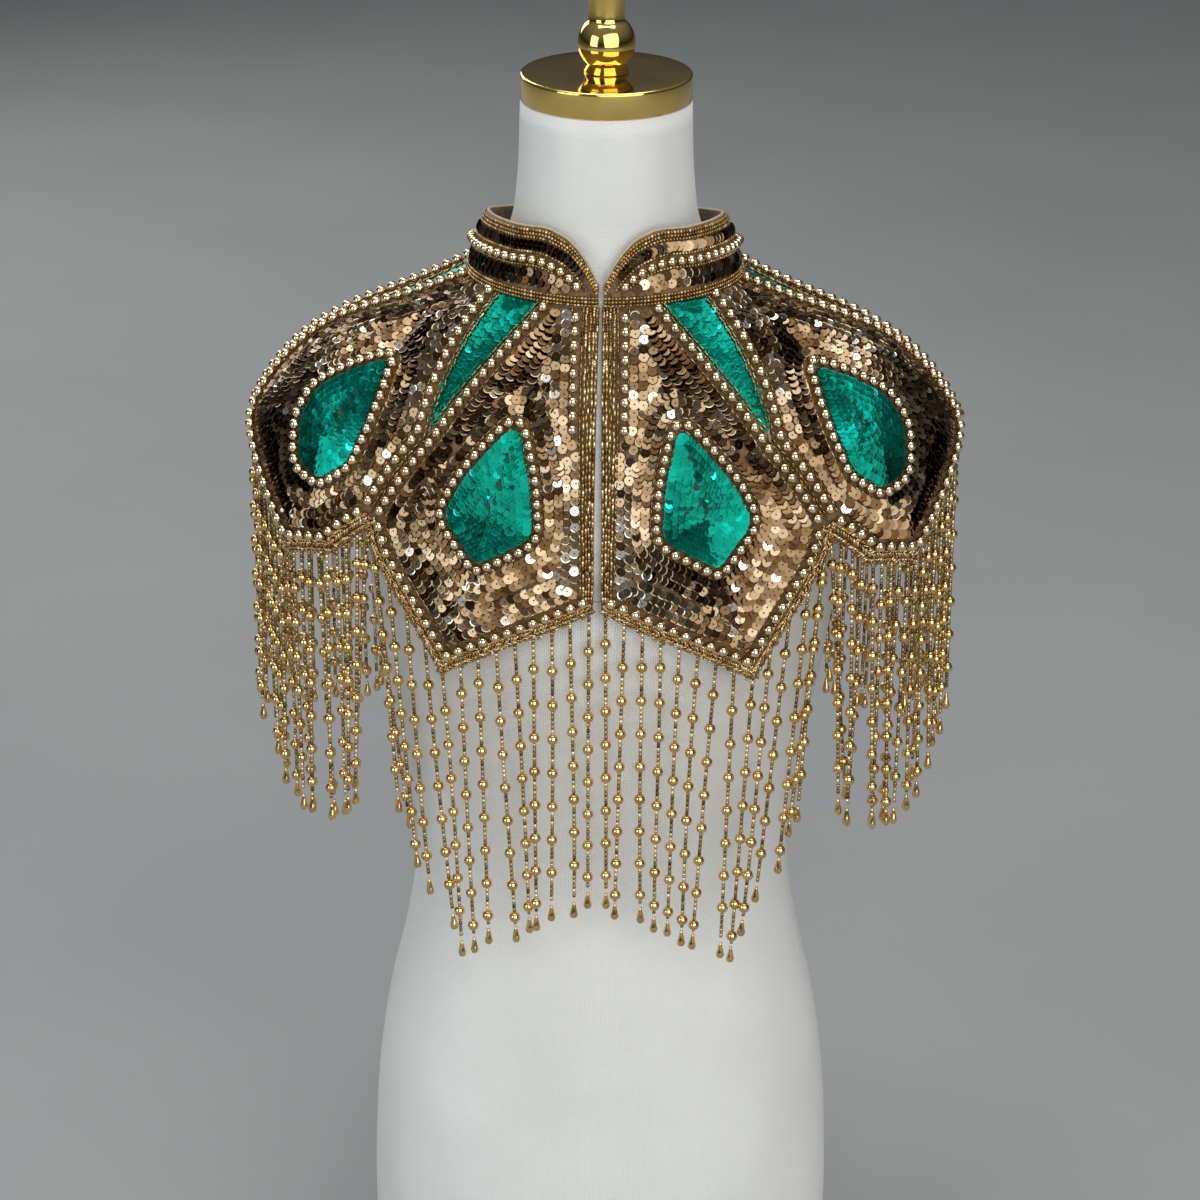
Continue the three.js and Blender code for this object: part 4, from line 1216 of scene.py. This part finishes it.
def hem_end_roots(name):
    """A strand beyond each end of the tape, sewn straight to the hem."""
    facts = FRINGE[name]
    line = shift_line(to_flat(PANELS[name]["hem"]), -TAPE["gap"])
    total = lengths_along(line)[-1]
    ends = [(END_STRAND, facts["first"]), (total - END_STRAND, facts["last"])]
    return [(off_cape(*from_flat(point_along(line, at)), TAPE["thickness"] / 2), length)
            for (at, length), clear in zip(ends, facts["clear"]) if clear > 2 * END_STRAND]


# how far neighbouring strands gather, as a share of the way, and how far they step in and out
GATHER = {"front": 0.2, "shoulder": 0.32, "shoulder_back": 0.32, "back": 0.22}
STAGGER = 2.4
# how many strands gather together: from the first number up to one less than the second
GATHERED = (2, 6)
# a strand's slow waves across and out, in millimetres, and how far it hangs from upright for each
# millimetre down
SWAY = {"across": 1.1, "out": 0.8, "hang": 0.006}
# the mean and the spread of the tints on a strand
STRAND_TINT = {"beads": (0.5, 0.2), "tubes": (0.58, 0.3), "drops": (0.4, 0.2)}


def gathered(roots, pull):
    """How far each strand's foot drifts, as neighbours gather in small groups."""
    drift = np.zeros((len(roots), 3))
    here = np.array([root for root, _ in roots])
    first = 0
    while first < len(roots):
        group = slice(first, first + int(RNG.integers(*GATHERED)))
        drift[group] = (here[group].mean(axis=0) - here[group]) * pull
        first = group.stop
    along = unit(np.gradient(here, axis=0) * [1, 1, 0])
    step = np.where(np.arange(len(roots)) % 2, STAGGER, -STAGGER)[:, None]
    drift += np.stack([along[:, 1], -along[:, 0], 0 * along[:, 0]], axis=1) * step
    drift[:, 2] = 0
    return drift


class Strand:
    """One strand of the fringe, which hangs from its root, drifts at its foot and waves a little."""

    def __init__(self, root, drift, length, swing):
        self.root, self.drift, self.length, self.swing = root, drift, length, swing
        self.phase = RNG.uniform(0, 2 * math.pi)
        self.sway = RNG.normal(0, SWAY["across"])
        self.hang = RNG.normal(0, SWAY["hang"])

    def point(self, down):
        share = down / self.length
        x = -self.root[0] * self.swing * down + self.sway * math.sin(3 * share + self.phase) * share
        y = SWAY["out"] * math.sin(2 * share + self.phase) * share
        return self.root + self.drift * share + [x + self.hang * down, y, -down]

    def place(self, stamp, down, tint, upright):
        """Stamps one form on the strand: upright along its third axis, or else along its first."""
        ahead = unit(self.point(down + 1) - self.point(down - 1))
        other = unit(np.cross(ahead, [0, 1, 0]))
        third = np.cross(ahead, other)
        axes = (third, other, -ahead) if upright else (ahead, other, third)
        stamp.add(self.point(down)[None], *(axis[None] for axis in axes), random_tints(*tint, 1))


def thread_strand(strand, beads, tubes, drops):
    """Round beads down a strand, tubes between them and a drop at its foot."""
    body = strand.length - STRAND_DROP["length"] - STRAND_DROP["gap"]
    first = RNG.uniform(*STRAND_BEAD["first"])
    pitch = STRAND_BEAD["pitch"] + RNG.normal(0, STRAND_BEAD["uneven"])
    knots = np.arange(first, body, pitch)
    for down in knots:
        strand.place(beads, down, STRAND_TINT["beads"], True)
    edges = np.concatenate([[0], knots, [body + STRAND_BEAD["radius"]]])
    for above, below in zip(edges, edges[1:]):
        start = above + (STRAND_BEAD["radius"] if above else 0)
        gap = below - STRAND_BEAD["radius"] - start
        count = max(1, int(round(gap / TUBE_PITCH)))
        for k in range(count):
            strand.place(tubes, start + (k + 0.5) * gap / count, STRAND_TINT["tubes"], False)
    strand.place(drops, strand.length - STRAND_DROP["length"] / 2, STRAND_TINT["drops"], True)


def dress_fringe(name):
    """The strands of one hem and its mirror."""
    beads = Stamp(ball_form(STRAND_BEAD["radius"], 9), "fringe")
    tubes = Stamp(tube_form(**STRAND_TUBE), "fringe_tubes")
    drops = Stamp(lathe_form(STRAND_DROP_PROFILE, 8), "fringe")
    roots = fringe_roots(name) + hem_end_roots(name)
    for _, side in sides_of(name):
        for (root, length), drift in zip(roots, gathered(roots, GATHER[name])):
            turn = np.array([side, 1, 1])
            strand = Strand(root * turn, drift * turn, length, FRINGE[name]["swing"])
            thread_strand(strand, beads, tubes, drops)
    stamps = {"beads": beads, "tubes": tubes, "drops": drops}
    return stamped({f"fringe_{name}_{kind}": stamp for kind, stamp in stamps.items()})


# ------------------------------------------------------------------ collar

def collar_facts(q):
    around = np.where(q <= 1, q, 2 - q)
    return (smooth(COLLAR[:, 0], COLLAR[:, k], around) for k in (1, 2))


def collar_point(q, up, lift):
    """Points on the collar's inner face at a share up of its height, moved out by lift."""
    q, up = np.broadcast_arrays(np.asarray(q, float), np.asarray(up, float))
    height, lean = collar_facts(q)
    seat = off_cape(q, NECK_SEAM, WALL)[..., 2] + COLLAR_SEAM
    root = cape(q, 0.0)
    outward = np.stack([root[..., 0], root[..., 1] - NECK_AXIS_Y - NECKLINE["centre_y"], 0 * q], axis=-1)
    outward = unit(outward)
    point = root + outward * (lift - lean * np.clip(up, 0, 1) ** COLLAR_CURL)[..., None]
    point[..., 2] = seat + height * up
    return point


COLLAR_ENDS = (0.006, 1.994)
# the collar's beads beside those of the panels
COLLAR_BEAD = 0.92
# rows on the collar: what each is made of, the edge it follows, its distance from it, and the room
# that it needs between itself and the other edge
COLLAR_ROWS = [
    ("seed", "top", 1.6, 6.8), ("seed", "top", 3.6, 6.8), ("seed", "top", 5.6, 6.8),
    ("seed", "bottom", 0.8, 4.0), ("seed", "bottom", 2.9, 4.0), ("seed", "bottom", 5.0, 4.0),
    ("sequin", "top", 9.8, 8.6), ("seed", "top", 13.8, 9.0), ("bead", "top", 17.6, 9.5),
    ("seed", "top", 21.4, 9.0), ("flat", "top", 25.4, 8.6), ("flat", "top", 30.0, 7.6),
    ("flat", "bottom", 9.0, 12.0), ("flat", "bottom", 12.5, 12.0),
]
COLLAR_PITCH = {"seed": 2.15, "bead": 6.6, "sequin": 3.4, "flat": 4.9}
COLLAR_LIFT = {"seed": 0.9, "bead": 2.8, "sequin": 1.3, "flat": 0.9}
COLLAR_LEAN = {"sequin": 0.38, "flat": 0.1}
COLLAR_SPREAD = {"lean": 0.06, "twist": 0.08}
COLLAR_TINT = (0.52, 0.2)
# the room that a new row leaves round what is already on the collar
COLLAR_CLEAR = {"seed": 0.0, "bead": 2.6, "sequin": 2.9, "flat": 2.9}
BINDING = {"radius": 0.85, "sides": 8, "rings": 300}
# the collar's cloth has finer columns as far as its leaf-pointed ends reach
COLLAR_GRID = {"leaf": 0.13, "leaf_columns": 26, "columns": 70, "rows": 9}
# points along a collar row, and half the share of its height over which the way up is taken
COLLAR_FINE = 1600
COLLAR_UP = 0.02


def binding_piece():
    """The narrow cloth binding that rolls over the collar's top edge."""
    sides = BINDING["sides"]
    q = np.linspace(*COLLAR_ENDS, BINDING["rings"])
    middle = collar_point(q, 1.0, COLLAR_INSIDE + COLLAR_WALL / 2)
    ahead = unit(np.gradient(middle, axis=0))
    out = unit(np.cross(ahead, [0, 0, 1]))
    up = np.cross(out, ahead)
    angle = 2 * math.pi * np.arange(sides) / sides
    ring = out[:, None] * np.cos(angle)[None, :, None] + up[:, None] * np.sin(angle)[None, :, None]
    points = middle[:, None] + ring * BINDING["radius"]
    faces = [tuple(f) for f in grid_faces(len(q), sides, wrap=True)]
    last = (len(q) - 1) * sides
    faces += [tuple(range(sides))[::-1], tuple(range(last, last + sides))]
    return mesh_object("collar_binding", points.reshape(-1, 3), faces, MATERIAL["binding"])


def collar_cloth_piece():
    leaf = COLLAR_GRID["leaf"]
    front = np.linspace(COLLAR_ENDS[0], leaf, COLLAR_GRID["leaf_columns"])
    q = np.concatenate([front, np.linspace(leaf, 1, COLLAR_GRID["columns"])[1:]])
    q = np.concatenate([q, (2 - q[:-1])[::-1]])
    q, up = np.meshgrid(q, np.linspace(0, 1, COLLAR_GRID["rows"]), indexing="ij")
    inner, outer = (collar_point(q, up, lift) for lift in (COLLAR_INSIDE, COLLAR_INSIDE + COLLAR_WALL))
    height, _ = collar_facts(q)
    uv = np.stack([q * FLAT_NECK_RADIUS * math.pi / 2, up * height], axis=-1)
    piece = shell_object("cloth_collar", inner, outer, MATERIAL["net"], uv)
    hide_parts("collar")
    return piece


def collar_row(kind, edge, distance, room):
    """Places along one row of the collar, a pitch apart over as much of it as has room."""
    q = np.linspace(*COLLAR_ENDS, COLLAR_FINE)
    height, _ = collar_facts(q)
    share = 1 - distance / height if edge == "top" else distance / height
    line = collar_point(q, share, COLLAR_INSIDE + COLLAR_WALL + COLLAR_LIFT[kind])
    walked = lengths_along(line)
    roomy = walked[height - distance > room]
    start, total = roomy.min(), np.ptp(roomy)
    count = int(total / COLLAR_PITCH[kind])
    at = start + (np.arange(count) + 0.5) * total / count
    where = line_at(line, walked, at)
    ahead = unit(line_at(line, walked, at + REACH) - where)
    q, share = np.interp(at, walked, q), np.interp(at, walked, share)
    upward = collar_point(q, share + COLLAR_UP, 0) - collar_point(q, share - COLLAR_UP, 0)
    out = unit(np.cross(ahead, upward))
    return where, ahead, np.cross(out, ahead), out


def dress_collar():
    """The rows of seeds, beads and sequins on the collar; each leaves room round those before it."""
    stamps = {
        "seed": Stamp(tube_form(**SEED), "bugles"),
        "bead": Stamp(ball_form(BEAD_RADIUS * COLLAR_BEAD), "beads"),
        "sequin": Stamp(sequin_form(**SEQUIN), "sequins", False),
    }
    placed = NOWHERE
    for kind, edge, distance, room in COLLAR_ROWS:
        places = collar_row(kind, edge, distance, room)
        keep = nearest(places[0], placed) > COLLAR_CLEAR[kind]
        places = [part[keep] for part in places]
        placed = np.vstack([placed, places[0]])
        count = len(places[0])
        if kind in COLLAR_LEAN:
            lean = COLLAR_LEAN[kind] + RNG.normal(0, COLLAR_SPREAD["lean"], count)
            places = leaned(places, lean, RNG.normal(0, COLLAR_SPREAD["twist"], count))
        tint = np.clip(RNG.normal(*COLLAR_TINT, count), LEAST_TINT, 1)
        stamps["sequin" if kind == "flat" else kind].add(*places, tint)
    pieces = stamped({f"collar_{kind}s": stamp for kind, stamp in stamps.items()})
    return {**pieces, "collar_binding": binding_piece()}


# ------------------------------------------------------------------ dress form

FORM_Q = (1 + 2 * np.arange(FORM_COLUMNS) / FORM_COLUMNS) % 2
FORM_ANGLE = math.pi * FORM_Q


def level_ring(z, half_width, depth, centre_y=0.0, squareness=2.0):
    """A level ring of the form: an ellipse, or fuller at its corners as squareness passes 2."""
    x, y = (np.sign(v) * np.abs(v) ** (2 / squareness) for v in (np.sin(FORM_ANGLE), np.cos(FORM_ANGLE)))
    z = np.full(FORM_COLUMNS, float(z))
    return np.stack([half_width * x, centre_y - depth * y + NECK_AXIS_Y, z], axis=1)


def form_rings():
    """The CAD part's rings, from the foot up: the body, the yoke that follows the cape, and the neck."""
    ahead = np.cos(FORM_ANGLE) > 0
    rings = [level_ring(z, half_width, np.where(ahead, front, back), squareness=FORM_SQUARENESS)
             for z, half_width, front, back in BODY]
    around = np.where(FORM_Q <= 1, FORM_Q, 2 - FORM_Q)
    bulge = np.sin(math.pi * around) ** YOKE["narrowing"]
    reach = YOKE["ends"] + (YOKE["side"] - YOKE["ends"]) * bulge
    for k in range(YOKE["rings"] + 1):
        rings.append(off_cape(FORM_Q, (1 - k / YOKE["rings"]) * reach, -FORM_CLEARANCE))
    return np.array(rings + [level_ring(*ring) for ring in NECK])


def form_skin():
    """A smooth grid of points through the rings, and how far up the skin each of its rows lies."""
    rings = form_rings()
    gaps = np.linalg.norm(np.diff(rings, axis=0), axis=2).mean(axis=1)
    at = np.concatenate([[0], np.cumsum(gaps)])
    up = np.unique([np.linspace(low, high, FORM_STEPS) for low, high in zip(at, at[1:])])
    knots = np.moveaxis(rings, 0, -1)
    each = np.broadcast_to(up, (FORM_COLUMNS, len(up)))
    skin = np.stack([smooth(at, knots[:, k], each) for k in range(3)], axis=-1)
    return np.moveaxis(skin, 1, 0), up


def form_uv(skin, up):
    """The cloth's layout on each corner of the skin, and from above on its foot and its neck."""
    rows, columns = np.indices((len(up) - 1, FORM_COLUMNS)).reshape(2, -1, 1)
    u = (columns + [[0, 1, 1, 0]]) * FORM_GIRTH / FORM_COLUMNS
    v = up[rows + [[0, 0, 1, 1]]]
    return np.concatenate([np.stack([u.ravel(), v.ravel()], axis=1), skin[0, ::-1, :2], skin[-1, :, :2]])


def form_piece():
    """The torso as one smooth skin through the CAD part's rings."""
    skin, up = form_skin()
    faces = [tuple(f) for f in grid_faces(len(up), FORM_COLUMNS, wrap=True)]
    faces.append(tuple(range(FORM_COLUMNS))[::-1])
    faces.append(tuple(range((len(up) - 1) * FORM_COLUMNS, len(up) * FORM_COLUMNS)))
    uv = form_uv(skin, up)
    piece = mesh_object("dress_form", skin.reshape(-1, 3), faces, MATERIAL["linen"], uv=uv)
    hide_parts("form_torso")


def turned_piece(name, node, profile, sides):
    points, faces = lathe_form(profile, sides)
    points[:, 1] += NECK_AXIS_Y
    piece = mesh_object(name, points, faces, MATERIAL["brass"])
    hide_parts(node)


def arc(centre_r, centre_z, radius, start, end, count):
    """Points of a profile on part of a circle, from a start to an end in degrees."""
    return [(centre_r + radius * math.cos(a), centre_z + radius * math.sin(a))
            for a in np.radians(np.linspace(start, end, count))]


def cap_piece():
    r, bottom, top, edge, bevel = (CAP[key] for key in ("radius", "bottom", "top", "edge", "bevel"))
    profile = [(0, bottom), (r - bevel, bottom), (r, bottom + bevel), (r, top - edge - 0.01)]
    profile += arc(r - edge, top - edge, edge, 0, 90, 7)
    profile += [(ring, top) for ring in (*CAP_TOP_RINGS, 0)]
    turned_piece("neck_cap", "form_neck_cap", profile, CAP["sides"])


def finial_piece():
    bottom, centre, waist, top = (FINIAL[key] for key in ("bottom", "ball_centre", "waist", "top"))
    profile = [(r, bottom + up) for r, up in FINIAL_FOOT]
    profile += arc(0, centre, FINIAL["ball"], *FINIAL_BALL, 24)
    profile += [(waist + wider, centre + up) for wider, up in FINIAL_NECK]
    profile += [(waist + wider, top - down) for wider, down in FINIAL_HEAD]
    turned_piece("finial", "form_finial", profile + [(0, top)], FINIAL["sides"])


# ------------------------------------------------------------------ the whole object


form_piece()
cap_piece()
finial_piece()

ornament = {**dress_panels(), **dress_hems()}
collar_cloth, collar_ornament = collar_cloth_piece(), dress_collar()
for kind, names in (("panel", PANELS), ("ray", RAYS), ("drop", DROPS)):
    for name in names:
        cloth_pieces(kind, name)

for name in FRINGE:
    cloth_pieces("fringe", name)
    ornament.update(dress_fringe(name))


# ------------------------------------------------------------------ floor, light and camera

FLOOR_SIZE = 24
# the floor's greys, and the world's, with where they begin and end from the horizon up
FLOOR_GREYS = [(0.3, (0.325, 0.335, 0.34)), (0.7, (0.35, 0.36, 0.365))]
WORLD_GREYS = [(0.05, (0.05, 0.05, 0.05)), (0.75, (0.36, 0.37, 0.38))]
WORLD_STRENGTH = 0.55
LIGHTS = {
    # place, the height of the target on the form's axis, size in metres, power in watts and colour
    "window": ((1.2, -3.0, 1.9), 0.6, (3.8, 3.4), 92, (1.0, 0.985, 0.96)),
    "fill": ((-2.5, -2.1, 1.5), 0.5, (1.8, 2.2), 30, (0.93, 0.97, 1.0)),
    "top": ((0, 0.2, 3.1), 0.5, (2.4, 1.8), 38, (1.0, 1.0, 1.0)),
    "behind": ((-1.5, 2.6, 1.9), 0.6, (1.6, 2.0), 26, (1.0, 0.99, 0.97)),
}


def floor():
    bpy.ops.mesh.primitive_plane_add(size=FLOOR_SIZE, location=(0, 0, 0))
    plane = bpy.context.object
    plane.name = "floor"
    tree, place = new_surface("floor")
    colour = tree.ramp(tree.noise(place, 3.0, 4.0), FLOOR_GREYS)
    plane.data.materials.append(tree.finish({"Base Color": colour, "Roughness": 0.85}))


def area_light(name, place, aim, size, power, colour):
    data = bpy.data.lights.new(name, "AREA")
    data.shape = "RECTANGLE"
    data.size, data.size_y = size
    data.energy = power
    data.color = colour
    lamp = bpy.data.objects.new(name, data)
    lamp.location = place
    lamp.visible_camera = False
    lamp.rotation_euler = (Vector((0, 0, aim)) - Vector(place)).to_track_quat("-Z", "Y").to_euler()
    bpy.context.scene.collection.objects.link(lamp)


def lights():
    for name, facts in LIGHTS.items():
        area_light(name, *facts)
    tree = NodeTree(bpy.data.worlds.new("studio"))
    height = tree.add("SeparateXYZ", "Z", {"Vector": tree.add("TexCoord", "Generated")})
    sky = {"Color": tree.ramp(height, WORLD_GREYS), "Strength": WORLD_STRENGTH}
    bpy.context.scene.world = tree.finish(sky, "Background")
    bpy.context.scene.view_settings.view_transform = "Standard"


# the view as photographed: a long lens a little above the neck, tilted down, level to within a third
# of a degree, with the form's axis a few pixels right of the picture's middle
CAMERA = {"tilt": 23.75, "around": 2.0, "distance": 2.12, "look_at": 0.520, "roll": 0.3,
          "focal_px": 3300, "frame_px": 1200, "axis_px": 603.5, "sensor_mm": 36, "clip_end": 100}


def camera():
    tilt, around = math.radians(CAMERA["tilt"]), math.radians(CAMERA["around"])
    ahead = Vector((-math.sin(around) * math.cos(tilt), math.cos(around) * math.cos(tilt), -math.sin(tilt)))
    right = Vector((math.cos(around), math.sin(around), 0))
    up = right.cross(ahead)
    sideways = (CAMERA["axis_px"] - CAMERA["frame_px"] / 2) * CAMERA["distance"] / CAMERA["focal_px"]
    target = Vector((0, NECK_AXIS_Y * MM, CAMERA["look_at"])) - right * sideways
    place = target - ahead * CAMERA["distance"]
    data = bpy.data.cameras.new("camera")
    data.sensor_width = CAMERA["sensor_mm"]
    data.lens = CAMERA["sensor_mm"] * CAMERA["focal_px"] / CAMERA["frame_px"]
    data.clip_end = CAMERA["clip_end"]
    eye = bpy.data.objects.new("camera", data)
    turn = Matrix((right, up, -ahead)).transposed().to_4x4()
    roll = Matrix.Rotation(math.radians(CAMERA["roll"]), 4, "Z")
    eye.matrix_world = Matrix.Translation(place) @ turn @ roll
    bpy.context.scene.collection.objects.link(eye)
    bpy.context.scene.camera = eye


floor()
lights()
camera()
